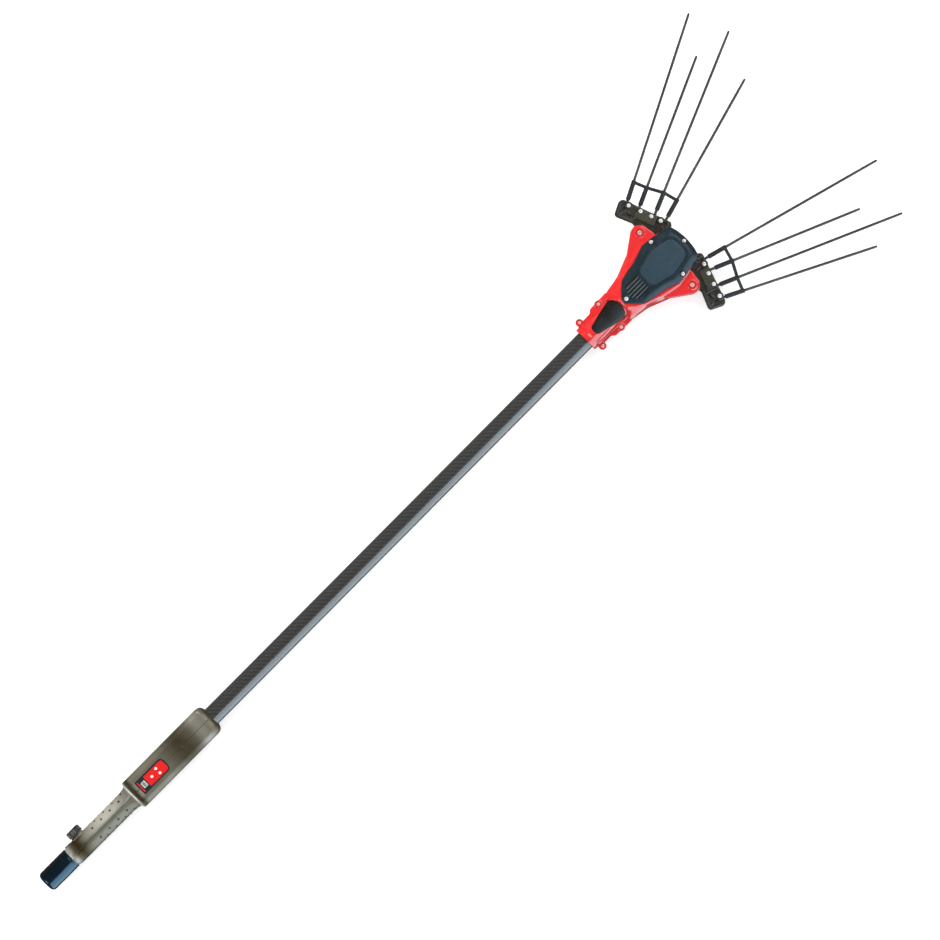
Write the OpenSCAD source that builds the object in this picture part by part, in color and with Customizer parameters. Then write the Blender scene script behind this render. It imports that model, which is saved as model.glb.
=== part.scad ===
// Twin-comb olive and fruit harvester: a carbon pole with a two-shell handle and keypad at
// its butt, and a gearbox head that swings two combs of carbon tines at its far end.
// +X runs along the pole from the butt to the combs, and +Z points out of the keypad.
// The origin is on the pole's axis, in the flat end face of the butt cap.

/* [Pole] */
// Outer diameter of the carbon pole
pole_d = 35; // [34:0.25:35]
// Wall thickness of the pole
pole_wall = 1.5; // [1:0.25:2]
// Distance from the butt end to the near end of the head's neck
head_x = 1379; // [1000:1:1700]

/* [Handle] */
// Length of the butt cap
cap_len = 66; // [50:1:72]
// Outer diameter of the butt cap
cap_d = 40; // [39:0.5:40.5]
// Outer diameter of the grip
grip_d = 41; // [40:0.5:42]
// Distance from the butt end to the control box
box_x = 223; // [220:1:240]
// Length of the control box
box_len = 200; // [195:1:215]
// Width and depth of the control box
box_w = 60; // [59:0.5:61]
// Distance from the butt end to the power inlet
inlet_x = 101; // [98:1:130]
// Diameter of the inlet's screw cap
inlet_cap_d = 29; // [27:0.5:31]

/* [Keypad] */
// Width of the keypad's black frame
keypad_w = 27.5; // [25:0.5:28]
// Length of the keypad's black frame
keypad_len = 67; // [66:0.5:68]
// Diameter of each button
button_d = 5.2; // [4:0.2:5.4]
// How far a button travels
button_travel = 0.8; // [0.4:0.1:0.8]

/* [Head] */
// Distance from the neck's near end to the crank's axis
crank_x = 177; // [176.5:0.5:177.5]
// Distance from the neck's near end to the comb pivots
pivot_x = 204; // [204:0.5:205]
// Distance of each comb pivot from the pole's axis
pivot_y = 66.6; // [66:0.2:67]
// Eccentricity of the crank pin
crank_throw = 4; // [3:0.5:4]

/* [Combs] */
// Diameter of each carbon tine
tine_d = 5; // [4:0.5:5]
// Free length of the long tines
long_tine = 356; // [250:1:380]
// Free length of the short tines
short_tine = 294; // [200:1:320]
// Upward lean of the long tines, in degrees
long_lean = 9; // [4:1:9]
// Downward lean of the short tines, in degrees
short_lean = 4; // [0:1:4]

/* [Hidden] */
$fn = 48;
fit = 0.05;           // clearance of a seated or running fit
far = 200;            // more than any cut needs to go right through

pole_r = pole_d / 2;
pole_bore = pole_r - pole_wall;
pole_x = 6.2;         // near end of the tube, just clear of the cap's floor
pole_in_neck = 61;
lead_hole_r = 9;

cap_floor = 6;
cap_edge = 7;         // radius of the cap's outer edge
vent_r = 1.2;
vent_ring = 8;
clip_x = 70;
clip_len = 12;
clip_w = 10;
clip_y = 17.8;        // the clip's underside
clip_h = 4;

grip_r = grip_d / 2;
grip_x = cap_len + 0.4;
box_half = box_w / 2;
box_wall = 2.6;
box_corner = 15;
grip_end_r = 4;       // corners of the box's two ends, and its walls there
grip_end_wall = 4;
head_end_r = 12;
head_end_wall = 12;

screw_z = 22.5;
screw_x = [6, 92, 137, 188];       // along the control box
screw_r = 1.5;
screw_head_r = 3;
screw_seat = 20;      // depth, from the seam, at which the heads sit
screw_boss_r = 4.2;

board_x = box_x + 12;
board_len = 73;
board_w = 28;
board_z = 20.2;
board_t = 1.6;
port_x = board_x + 65;             // where the leads come through the pole's wall
lead_r = 2.6;
lead_y = 5;

inlet_r = 9.5;
inlet_from = 12;
inlet_to = 33;
inlet_mouth_r = 7.5;
inlet_boss_r = 12.4;
contact_r = 1.2;
contact_ring = 3.6;
contact_turns = [90, 210, 330];
screw_cap_bottom = 23.6;
screw_cap_top = 36.2;
screw_cap_roof = 34;
screw_cap_edge = 3;
seal_t = 0.75;

keypad_x = box_x + 19;
keypad_border = 2;
keypad_end_r = keypad_w / 2 - 4;    // corners of the end towards the head
label_t = 0.8;
label_z = box_half - label_t;      // underside of the label
frame_t = 3.2;
display_x = keypad_x + 5;
display_len = 14;
display_w = 13.6;
button_x = keypad_x + 31.5;
button_at = [[0, 0], [15, 5.4], [15, -5.4]];
button_gap = 0.3;
button_top = box_half + 1.2;
button_len = 5.2;
button_foot = 0.6;    // the thickness of its flange below the frame
switch_w = 4.8;
switch_h = button_top - button_len - button_foot - button_travel - 0.6 - board_z - board_t;

neck_r = 22.5;
motor_x = 66;
motor_len = 56;
motor_r = 19;
shell_top = 25;
room_top = 21;        // half the height of the room for the crank and yoke
rest_z = box_half;
lug_at = [[13.5, 29.5], [61, 29]];
lug_r = 7.5;
lug_top = 9;
lug_screw_r = 2;
lug_head_r = 3.6;
flange_t = 5;
ear_gap = 10.5;       // half the height of the slots that the arms swing in
ear_top = 22;
ear_r = 16;
pin_r = 5;
pin_boss_r = 7.5;
pin_key_r = 2.4;
cover_t = 3;
bolt_r = 2;
bolt_head_r = 4;
bolt_head_h = 3;
bolt_key_r = 1.8;
post_r = 6;
base_screw_r = 1.5;
base_head_r = 3.1;
base_head_h = 1.9;

teeth_pinion = 12;
teeth_crown = 36;
gear_module = 1.25;
pinion_r = teeth_pinion * gear_module / 2;
crown_r = teeth_crown * gear_module / 2;
crown_face = 4;
crown_rim = 2.5;      // half the width of the crown gear's toothed ring
crown_top = -pinion_r + gear_module;
crown_bottom = -14;
tooth_depth = 2.9;
motor_shaft_r = 2.5;
shaft_r = 5;
bearing_r = 11;
bearing_t = 6;
bearing_z = [-room_top, -4.5];
bridge_t = 6;
bridge_screw = [-8, 33];           // from the crank's axis
web_r = 9.5;
crank_pin_r = 3;
roller_r = 6;
yoke_z = 9.5;
yoke_t = 6;
yoke_rim = 5;
window_half = roller_r + crank_throw + 0.4;
lever_len = 30;
yoke_pin_r = 4;
yoke_peg_r = yoke_pin_r - 1;
yoke_tip = 7.5;       // how far the crosshead reaches past each yoke pin
guide_r = 2.5;
guide_y = 20;
guide_z = yoke_z + yoke_t / 2;

arm_half = 9;         // half the thickness of a comb's arm
hub_half = ear_gap - 0.6;
bush_r = 7.5;
lever_r = 9.5;
bar_start = [227.5, 126.9];        // outer end of the bar's front edge, from the neck's end
bar_turn = -70.7;     // direction of the front edge, in degrees from +X
tine_at = [5, 29, 60, 82];         // distances along the front edge
tine_out = [26.8, 24, 23, 15.5];   // directions of the tines, outward from +X
tine_root = 18;       // length of a tine inside the bar
sleeve_from = [3, 4, 9, 7];
sleeve_len = 37;
sleeve_r = 4.2;
rung_r = 3;
bolt_at = [10.2, 34.1, 55.4, 74.2];
bolt_in = 6;
plate_from = 28;
plate_to = 66;
plate_t = 3.5;
plate_top = arm_half + plate_t;
comb_bolt_r = 1.8;
comb_bolt_from = 4.6;
comb_head_r = 3.8;
comb_head_h = 3;
left_long = [0, 2];   // which tines are long on the left comb; the right comb has the others
left_short = [1, 3];

red = "#e0232b";
slate = "#44525e";
gunmetal = "#7c7a68";
carbon = "#3a3a38";
black = "#1d1d1e";
steel = "#c9ccd0";
brass = "#b89b57";

// ---- helpers ----

module rod_x(x, r, len, y = 0, z = 0)
    translate([x, y, z]) rotate([0, 90, 0]) cylinder(r = r, h = len);

module rod_y(y, r, len, x = 0, z = 0)
    translate([x, y, z]) rotate([-90, 0, 0]) cylinder(r = r, h = len);

module rod_z(z, r, len, at = [0, 0])
    translate([at[0], at[1], z]) cylinder(r = r, h = len);

module ring_z(z, r_out, r_in, len, at = [0, 0])
    difference() {
        rod_z(z, r_out, len, at);
        rod_z(z - 1, r_in, len + 2, at);
    }

module hex_z(z, r, len, at) rod_z(z, r, len, at, $fn = 6);

// A profile of [radius, x] points turned about the pole's axis.
module turned_x(profile)
    rotate([0, 90, 0]) rotate_extrude() polygon(profile);

module round_rect(w, h, r) {
    square([w - 2 * r, h], center = true);
    square([w, h - 2 * r], center = true);
    for (x = [-1, 1], y = [-1, 1]) translate([x * (w / 2 - r), y * (h / 2 - r)]) circle(r);
}

module slab(z, t) translate([0, 0, z]) linear_extrude(t) children();

module in_head() translate([head_x, 0, 0]) children();

module both_sides() {
    children();
    mirror([0, 1, 0]) children();
}

function arc(c, r, a0, a1, n) =
    [for (i = [0:n]) let (a = a0 + (a1 - a0) * i / n) c + r * [cos(a), sin(a)]];

// A half outline in y > 0 closed by its own mirror image.
function whole(half) =
    concat(half, [for (i = [len(half) - 1:-1:0]) [half[i][0], -half[i][1]]]);

// ---- pole and butt ----

module pole_tube() color(carbon)
    difference() {
        rod_x(pole_x, pole_r, head_x + pole_in_neck - pole_x);
        rod_x(0, pole_bore, head_x + far);
        rod_y(0, inlet_r + 0.3, far, inlet_x);
        rod_z(0, lead_hole_r, far, [port_x, 0]);
    }

module butt_cap() color("#1b2c38")
    difference() {
        turned_x(concat([[0, 0]],
            [for (a = [0:10:90]) [cap_d / 2 - cap_edge * (1 - sin(a)), cap_edge * (1 - cos(a))]],
            [[cap_d / 2, cap_len], [pole_r + fit, cap_len], [pole_r + fit, cap_floor],
             [0, cap_floor]]));
        for (a = [0:60:300]) rotate([a, 0, 0]) rod_x(-1, vent_r, 3, vent_ring);
    }

module clip_space(gap)
    translate([clip_x - gap, clip_y, -clip_w / 2 - gap])
        cube([clip_len + 2 * gap, clip_h, clip_w + 2 * gap]);

module cap_clip() color(black)
    intersection() {
        clip_space(0);
        rod_x(0, grip_r + 0.9, far);
    }

// ---- handle shells ----

module box_profile(w, r)
    rotate([90, 0, 90]) linear_extrude(box_len) round_rect(w, w, r);

// The box from the side: small corners at the grip's end and large ones at the head's.
module box_side() {
    longer = box_len + 2 * head_end_r;
    intersection() {
        translate([longer / 2, 0]) round_rect(longer, box_w, grip_end_r);
        translate([box_len - longer / 2, 0]) round_rect(longer, box_w, head_end_r);
    }
}

module box_block()
    translate([box_x, 0, 0]) intersection() {
        box_profile(box_w, box_corner);
        slab(-box_half, box_w) box_side();
        rotate([90, 0, 0]) slab(-box_half, box_w) box_side();
    }

module keypad_outline(grow) {
    r = keypad_end_r + grow;
    w = keypad_w + 2 * grow;
    end_x = keypad_x + keypad_len - keypad_end_r;
    translate([keypad_x - grow, -w / 2]) square([end_x - keypad_x + grow, w]);
    translate([end_x, -w / 2 + r]) square([r, w - 2 * r]);
    for (y = [-1, 1]) translate([end_x, y * (w / 2 - r)]) circle(r);
}

module screw_bosses(r)
    for (x = screw_x, z = [-1, 1]) rod_y(-box_half, r, box_w, box_x + x, z * screw_z);

module handle_shell()
    difference() {
        union() {
            turned_x([[pole_r + fit, grip_x], [18.4, grip_x], [19.8, grip_x + 3.5],
                [grip_r, grip_x + 9], [grip_r, box_x - 18], [grip_r + 1, box_x - 9],
                [grip_r + 3.6, box_x + 1], [pole_r + fit, box_x + 1]]);
            rod_y(inlet_from + 2, inlet_boss_r, screw_cap_bottom - inlet_from - 2.8, inlet_x);
            difference() {
                box_block();
                translate([box_x + grip_end_wall, 0, 0]) intersection() {
                    box_profile(box_w - 2 * box_wall, box_corner - box_wall);
                    translate([0, -box_half, -box_half])
                        cube([box_len - grip_end_wall - head_end_wall, box_w, box_w]);
                }
            }
            intersection() {
                screw_bosses(screw_boss_r);
                box_block();
            }
        }
        rod_x(0, pole_r + fit, head_x);
        rod_y(0, inlet_r + fit, far, inlet_x);
        slab(board_z + 4, 20) keypad_outline(fit);
        clip_space(0.1);
        screw_bosses(screw_r + fit);
        for (x = screw_x, z = [-1, 1])
            rod_y(screw_seat, screw_head_r + 0.3, far, box_x + x, z * screw_z);
    }

module handle_shell_left() color(gunmetal)
    intersection() {
        handle_shell();
        translate([0, fit / 2, -box_half]) cube([box_x + box_len, box_half, box_w]);
    }

module handle_shell_right() color(gunmetal)
    intersection() {
        handle_shell();
        translate([0, -box_half - fit / 2, -box_half]) cube([box_x + box_len, box_half, box_w]);
    }

module handle_screws() color(steel)
    for (x = screw_x, z = [-1, 1]) difference() {
        union() {
            rod_y(-screw_seat, screw_r, 2 * screw_seat + 1, box_x + x, z * screw_z);
            rod_y(screw_seat + 0.1, screw_head_r, 2.4, box_x + x, z * screw_z);
        }
        rod_y(screw_seat + 1.2, screw_head_r - 1.8, 3, box_x + x, z * screw_z);
    }

// ---- keypad ----

module button_bores(r) for (b = button_at) rod_z(0, r, 60, [button_x + b[0], b[1]]);

// The space over the display, set in from its ends, half as wide as given.
module display_cut(ends, half)
    translate([display_x + ends, -half, 0]) cube([display_len - 2 * ends, 2 * half, far]);

module keypad_frame() color(black)
    difference() {
        slab(box_half - frame_t, frame_t) keypad_outline(0);
        slab(label_z, 5) keypad_outline(-keypad_border);
        button_bores(button_d / 2 + button_gap);
        display_cut(2, display_w / 2 + 0.2);
    }

module keypad_label() color("#c8120d")
    difference() {
        slab(label_z, label_t) keypad_outline(-keypad_border - fit);
        button_bores(button_d / 2 + button_gap);
        display_cut(0, keypad_w);
    }

module display_lens() color("#20262b")
    intersection() {
        slab(label_z, label_t + 0.2) keypad_outline(-keypad_border - fit);
        display_cut(fit, keypad_w);
    }

module display_module() color("#d9dcd6")
    translate([display_x + 2.2, -display_w / 2, board_z + board_t])
        cube([display_len - 4.4, display_w, label_z - 0.1 - board_z - board_t]);

module control_board() color("#2f6b46")
    difference() {
        union() {
            translate([board_x, -board_w / 2, board_z]) cube([board_len, board_w, board_t]);
            for (y = [-9, 0, 9]) rod_z(board_z + board_t, 2.6, 4.4, [port_x - 1, y]);
        }
        for (x = [3, board_len - 3], y = [-1, 1])
            rod_z(0, 1.3, far, [board_x + x, y * (board_w / 2 - 3)]);
    }

module switches() color(steel)
    for (b = button_at)
        translate([button_x + b[0] - switch_w / 2, b[1] - switch_w / 2, board_z + board_t])
            cube([switch_w, switch_w, switch_h]);

module button(i) color("#f2f2ef") {
    at = [button_x + button_at[i][0], button_at[i][1]];
    rod_z(button_top - button_len, button_d / 2, button_len, at);
    rod_z(button_top - button_len - button_foot, button_d / 2 + 0.5, 1, at);
}

module button_power() button(0);
module button_plus() button(1);
module button_minus() button(2);

// ---- power inlet and leads ----

module contact_rods(y, r, len)
    translate([inlet_x, 0, 0]) for (a = contact_turns) rotate([0, a, 0]) rod_y(y, r, len, contact_ring);

module inlet_socket() color(black)
    difference() {
        rod_y(inlet_from, inlet_r, inlet_to - inlet_from, inlet_x);
        rod_y(inlet_from + 8, inlet_mouth_r, far, inlet_x);
        contact_rods(inlet_from - 2, contact_r, far);
    }

module inlet_contacts() color(brass)
    contact_rods(inlet_from - 1, contact_r - fit, 18);

module inlet_cap() color(black)
    translate([inlet_x, 0, 0]) difference() {
        rotate([-90, 0, 0]) rotate_extrude()
            polygon(concat([[0, screw_cap_top]],
                [for (a = [90:-15:0])
                    [inlet_cap_d / 2, screw_cap_top] - screw_cap_edge * [1 - cos(a), 1 - sin(a)]],
                [[inlet_cap_d / 2, screw_cap_bottom], [inlet_r + 0.3, screw_cap_bottom],
                 [inlet_r + 0.3, screw_cap_roof], [0, screw_cap_roof]]));
        for (a = [0:15:345]) rotate([0, a, 0])
            rod_y(screw_cap_bottom - 1, 0.9, screw_cap_top - screw_cap_bottom, inlet_cap_d / 2 + 0.3);
    }

module cap_seal() color("#5a5a55")
    translate([inlet_x, 0, 0]) difference() {
        rod_y(screw_cap_roof - fit - seal_t, inlet_r - 0.1, seal_t);
        rod_y(inlet_to, 6, 2);
    }

module supply_lead() color(black) {
    rod_y(lead_y, lead_r, inlet_from - 1 - fit - lead_y, inlet_x);
    translate([inlet_x, lead_y, 0]) sphere(lead_r);
    rod_x(inlet_x, lead_r, port_x - inlet_x, lead_y);
    translate([port_x, lead_y, 0]) sphere(lead_r);
    rod_z(0, lead_r, board_z, [port_x, lead_y]);
}

module motor_lead() color(black) {
    rod_z(0, lead_r, board_z, [port_x, -lead_y]);
    translate([port_x, -lead_y, 0]) sphere(lead_r);
    rod_x(port_x, lead_r, head_x + motor_x - port_x, -lead_y);
}

// ---- head shells ----

housing_foot = [[82, 34], [98, 35.5], [120, 39.6], [156, 55], [176, 60], [222, 45],
    [245, 35], [252, 22]];
housing_brow = [[94, 14], [106, 22], [120, 32], [156, 44], [190, 52], [222, 44],
    [245, 35], [252, 20]];
housing_room = [[124, 17], [138, 26], [156, 40], [176, 46], [218, 36], [240, 29], [247, 17]];
flange_half = [[3, 0], [3, 24], [20, 27.5], [38, 28], [44, 33.5], [84, 34.5], [90, 0]];
ear_half = [[150, 44], [160, 56], [198, 83.5], [209, 84.5], [217.6, 74], [222.5, 43],
    [186, 38]];
cover_half = [[95.2, 0], [106, 16.2], [120.4, 28.8], [138.4, 33.3], [156.4, 36], [174.4, 41.4],
    [188.8, 46.8], [206.8, 45.9], [223, 43.2], [246.4, 36.9], [250, 34.2], [253.6, 21.6],
    [255.4, 0]];
panel_share = 0.88;   // the sunk panel's outline against the plateau's
plateau_half = [[147.4, 17], [156.4, 23.4], [192.4, 32.4], [210.4, 30.6], [233.8, 24.3],
    [241, 17], [242.8, 0]];
pad_half = [[19.6, 5.4], [23.2, 9.9], [39.4, 13.5], [48.4, 16.2], [66.4, 19.8], [80.8, 21.6],
    [88, 9.9], [89.8, 0]];
base_half = [[100, 14], [125, 25], [180, 38], [215, 36], [240, 26], [246, 12]];
cover_bolt_at = [[102.4, 0], [205.9, 40], [205.9, -40], [249, 0]];
base_screw_at = [[112, 0], [206, 28], [206, -28], [238, 0]];
pivot_at = [pivot_x, pivot_y];
lever_end = [pivot_x, pivot_y - lever_len];
neck_len = 128;
guide_len = 82;
bolt_seat = shell_top + 2.5;
base_seat = shell_top + 2.5;

// How far down the bolts and screws reach: less over the motor, and into the posts elsewhere.
function bolt_from(p) = p[0] < motor_x + motor_len ? 20.5 : 19;
function base_screw_to(p) = p[0] < motor_x + motor_len ? 20.5 : 19.5;

module pad_space(grow)
    intersection() {
        slab(8, 30) offset(delta = grow) polygon(whole(pad_half));
        difference() {
            rod_x(0, neck_r + 2, far);
            rod_x(-1, neck_r - 1.5 - grow, far + 2);
        }
    }

// The half of the housing above z = 0; the lower shell is its mirror image.
module shell_blank()
    difference() {
        union() {
            intersection() {
                rod_x(0, neck_r, neck_len);
                translate([-1, -neck_r, 0]) cube([neck_len + 2, 2 * neck_r, neck_r]);
            }
            slab(0, flange_t) polygon(whole(flange_half));
            both_sides() {
                for (p = lug_at) rod_z(0, lug_r, lug_top, p);
                rod_z(ear_gap, ear_r, ear_top - ear_gap, pivot_at);
                rod_z(ear_top - 1, pin_boss_r, 3, pivot_at);
                slab(ear_gap, ear_top - ear_gap) polygon(ear_half);
            }
            difference() {
                hull() {
                    slab(0, 8) polygon(whole(housing_foot));
                    slab(shell_top - 1, 1) polygon(whole(housing_brow));
                }
                slab(-1, room_top + 1) polygon(whole(housing_room));
            }
        }
        rod_x(-1, pole_r + fit, pole_in_neck + 4);
        rod_x(motor_x - 4, motor_r + fit, motor_len + 14);
        both_sides() {
            translate([crank_x - 1, 26, -1]) cube([far, far, ear_gap + 1]);
            translate([pivot_x - 11, guide_y, -1]) cube([22, 25.3, yoke_z + yoke_t + 3]);
            for (p = lug_at) rod_z(-1, lug_screw_r, 12, p);
            rod_z(0, pin_r + fit, far, pivot_at);
            rod_x(140, guide_r + fit, guide_len + 6, guide_y, guide_z);
        }
    }

module head_shell_upper() color(red)
    in_head() difference() {
        union() {
            difference() {
                shell_blank();
                slab(shell_top - 1, 5) offset(delta = 0.15) polygon(whole(cover_half));
                slab(16, 20) polygon(whole([for (p = housing_room) [p[0] * 0.86 + 26, p[1] * 0.8]]));
            }
            both_sides() rod_z(18.6, post_r, 5.4, cover_bolt_at[1]);
        }
        pad_space(0.1);
        for (p = cover_bolt_at) rod_z(bolt_from(p) - 1, bolt_r, far, p);
    }

module head_shell_lower() color(red)
    in_head() difference() {
        union() {
            mirror([0, 0, 1]) shell_blank();
            ring_z(-room_top - 1.5, bearing_r + 3, bearing_r + fit, 7.5, [crank_x, 0]);
            both_sides() ring_z(-room_top - 1.5, 4, screw_r, 18, [crank_x, 0] + bridge_screw);
        }
        for (p = base_screw_at) rod_z(-far, base_screw_r + 0.1, far - base_screw_to(p) + 1, p);
    }

module head_screws() color(steel)
    in_head() both_sides() for (p = lug_at) difference() {
        union() {
            rod_z(-lug_top + 1, lug_screw_r - fit, 2 * lug_top - 0.9, p);
            rod_z(lug_top, lug_head_r, 2.2, p);
        }
        hex_z(lug_top + 1, 1.5, 3, p);
    }

module pivot_pins() color(steel)
    in_head() both_sides() difference() {
        rod_z(-ear_top - 1, pin_r, 2 * ear_top + 2, pivot_at);
        for (z = [-ear_top - 2, ear_top - 1]) hex_z(z, pin_key_r, 3, pivot_at);
    }

module head_cover() color(slate)
    in_head() difference() {
        union() {
            slab(shell_top - 1, cover_t + 1) polygon(whole(cover_half));
            hull() {
                slab(shell_top + cover_t, 0.5) translate([9, 0]) scale([0.95, 0.9])
                    polygon(whole(cover_half));
                slab(shell_top + 8, 1.5) polygon(whole(plateau_half));
            }
        }
        for (p = cover_bolt_at) {
            rod_z(10, bolt_r, far, p);
            rod_z(bolt_seat, bolt_head_r + 1, far, p);
        }
        for (y = [-10:5:10]) translate([116, y - 1, shell_top + 3.2]) cube([32, 2, 10]);
        slab(shell_top + 8, far) polygon(whole([for (p = plateau_half)
            [195, 0] + panel_share * (p - [195, 0])]));
    }

module cover_bolts() color(steel)
    in_head() for (p = cover_bolt_at) difference() {
        union() {
            rod_z(bolt_from(p), bolt_r - fit, bolt_seat + 0.5 - bolt_from(p), p);
            rod_z(bolt_seat, bolt_head_r, bolt_head_h, p);
        }
        hex_z(bolt_seat + 1.5, bolt_key_r, bolt_head_h, p);
    }

module neck_pad() color("#1b1b1b")
    in_head() difference() {
        pad_space(0);
        translate([38, -1, neck_r + 1]) cube([42, 2, 5]);
    }

module base_plate() color(black)
    in_head() difference() {
        slab(-rest_z, rest_z - shell_top) polygon(whole(base_half));
        for (p = base_screw_at) {
            rod_z(-far, base_screw_r + 0.1, far, p);
            rod_z(-far, base_head_r + 0.3, far - base_seat, p);
        }
    }

module base_screws() color(steel)
    in_head() for (p = base_screw_at) {
        rod_z(-base_seat, base_screw_r, base_seat - base_screw_to(p), p);
        rod_z(-base_seat - base_head_h, base_head_r, base_head_h, p);
    }

// ---- motor, crank and yoke ----

module motor_can() color("#8d9094")
    in_head() difference() {
        rod_x(motor_x, motor_r, motor_len);
        rod_x(motor_x + 3, motor_r - 2, motor_len - 6);
        rod_x(0, motor_shaft_r + fit, far);
    }

module motor_stator() color(brass)
    in_head() difference() {
        rod_x(motor_x + 12, motor_r - 2, motor_len - 24);
        rod_x(0, 11, far);
    }

module motor_mount() color(steel)
    in_head() difference() {
        rod_x(motor_x + motor_len, motor_r, 4);
        rod_x(0, 8, far);
        for (a = [45:90:315]) rotate([a, 0, 0]) rod_x(0, 1.6, far, 13);
    }

module motor_shaft() color(steel)
    in_head() rod_x(motor_x + 0.5, motor_shaft_r, crank_x - crown_r + crown_face / 2 - motor_x - 0.5);

module rotor_magnet() color("#55585c")
    in_head() difference() {
        rod_x(motor_x + 12, 10, motor_len - 24);
        rod_x(0, motor_shaft_r + fit, far);
    }

module drive_pinion() color(steel)
    in_head() translate([crank_x - crown_r - crown_face / 2, 0, 0]) difference() {
        rotate([0, 90, 0]) linear_extrude(crown_face) polygon([
            for (i = [0:teeth_pinion - 1], p = [[-8.6, 5.95], [-6.2, 7.4], [-2.6, 8.6],
                    [2.6, 8.6], [6.2, 7.4], [8.6, 5.95]])
                let (a = p[0] + i * 360 / teeth_pinion) p[1] * [cos(a), sin(a)]]);
        rod_x(-1, motor_shaft_r + fit, crown_face + 2);
    }

module crown_gear() color(brass)
    in_head() translate([crank_x, 0, 0]) difference() {
        rod_z(crown_bottom, crown_r + crown_rim, crown_top - crown_bottom);
        rod_z(crown_top - tooth_depth - 0.1, crown_r - crown_rim, far);
        rod_z(crown_bottom - 1, shaft_r + fit, far);
        for (i = [0:teeth_crown - 1]) rotate([0, 0, i * 360 / teeth_crown])
            translate([crown_r - 2 * crown_rim, 0, crown_top]) rotate([90, 0, 90])
                linear_extrude(4 * crown_rim) polygon([[-1.6, 0.1], [-0.64, -tooth_depth],
                    [0.64, -tooth_depth], [1.6, 0.1]]);
    }

module crank_shaft() color(steel)
    in_head() translate([crank_x, 0, 0]) {
        rod_z(-room_top + 0.2, shaft_r, room_top + 6.8);
        rod_z(6.5, web_r, 2.5);
        rod_z(8.5, crank_pin_r, yoke_z + yoke_t - 8, [0, crank_throw]);
    }

module crank_roller() color("#9aa0a6")
    in_head() ring_z(yoke_z + 0.1, roller_r, crank_pin_r + fit, yoke_t - 0.2, [crank_x, crank_throw]);

module crank_bearings() color(steel)
    in_head() for (z = bearing_z) ring_z(z, bearing_r, shaft_r + fit, bearing_t, [crank_x, 0]);

module bearing_bridge() color("#8d9094")
    in_head() difference() {
        slab(bearing_z[1], bridge_t) translate([crank_x, 0]) union() {
            circle(bearing_r + 4);
            translate([bridge_screw[0] - 5, -bridge_screw[1] - 5]) square([10, 2 * bridge_screw[1] + 10]);
        }
        rod_z(-10, bearing_r + fit, 20, [crank_x, 0]);
        both_sides() rod_z(-10, screw_r + 0.1, 20, [crank_x, 0] + bridge_screw);
    }

module guide_rods() color(steel)
    in_head() both_sides() rod_x(143, guide_r, guide_len, guide_y, guide_z);

module yoke() color("#9aa0a6")
    in_head() difference() {
        slab(yoke_z, yoke_t) translate([crank_x, 0]) union() {
            translate([-window_half - 6.5, -guide_y - yoke_rim]) square([6.5, 2 * guide_y + 10]);
            translate([-window_half - 6.5, -window_half - yoke_rim])
                square([2 * window_half + 20, 2 * (window_half + yoke_rim)]);
            translate([pivot_x - crank_x - 6, -pivot_y + lever_len - yoke_tip])
                square([12, 2 * (pivot_y - lever_len + yoke_tip)]);
        }
        translate([crank_x - window_half, -window_half, 0])
            cube([2 * window_half, 2 * window_half, 40]);
        both_sides() {
            rod_x(0, guide_r + fit, 2 * far, guide_y, guide_z);
            rod_z(0, yoke_peg_r + fit, far, lever_end);
        }
    }

module yoke_pins() color(steel)
    in_head() both_sides() {
        rod_z(1, yoke_pin_r, yoke_z - 1.1, lever_end);
        rod_z(yoke_z - 1.5, yoke_peg_r, yoke_t + 1.5, lever_end);
    }

// ---- combs ----
// Each module draws the left comb; side() mirrors it for the right one. The two combs carry
// their long tines in opposite places, so that they pass between each other's.

bar_dir = [cos(bar_turn), sin(bar_turn)];
bar_out = [-sin(bar_turn), cos(bar_turn)];

function on_bar(along, back) = bar_start + along * bar_dir - back * bar_out;

module side(left) in_head() mirror([0, left ? 0 : 1, 0]) children();

// Moves children drawn along +X onto a tine's axis, with its root at x = 0.
module at_tine(i, lean)
    translate(concat(on_bar(tine_at[i], 0), [0])) rotate([0, 0, tine_out[i]]) rotate([0, -lean, 0])
        children();

module arm(left, long) color("#2b2d28")
    side(left) difference() {
        union() {
            slab(-arm_half, 2 * arm_half) polygon([on_bar(-1, 34), on_bar(-6, 31), on_bar(-9, 8),
                on_bar(-6, 2), on_bar(-1, 0), on_bar(92, 0), on_bar(97, 7), on_bar(88, 25),
                [213, 50], [203, 54], [207.5, 88]]);
            rod_z(-hub_half, ear_r - 1, 2 * hub_half, pivot_at);
            slab(2, 6) {
                translate(lever_end - [lever_r, 0]) square([2 * lever_r, lever_len]);
                translate(lever_end) circle(lever_r);
            }
            for (i = [0, 3]) rod_z(arm_half - 1, 6, plate_t + 1, on_bar(bolt_at[i], bolt_in));
        }
        rod_z(-hub_half - 1, bush_r + fit, far, pivot_at);
        slab(0, 20) translate(lever_end) {
            square([2 * yoke_pin_r + 0.8, 2], center = true);
            for (y = [-1, 1]) translate([0, y]) circle(yoke_pin_r + 0.4);
        }
        for (i = [0:3]) {
            at_tine(i, search(i, long) ? long_lean : -short_lean)
                rod_x(-tine_root - 0.2, tine_d / 2 + fit, tine_root + 20);
            rod_z(comb_bolt_from, comb_bolt_r, 20, on_bar(bolt_at[i], bolt_in));
        }
        slab(4.8, 10) translate(on_bar(15, 22)) rotate(bar_turn) square([14, 9]);
        slab(-12, 6) for (d = [8, 32, 56]) translate(on_bar(d, 26)) rotate(bar_turn)
            square([18, 18]);
    }

module bush(left) color(brass)
    side(left) ring_z(-hub_half, bush_r, pin_r + fit, 2 * hub_half, pivot_at);

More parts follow.
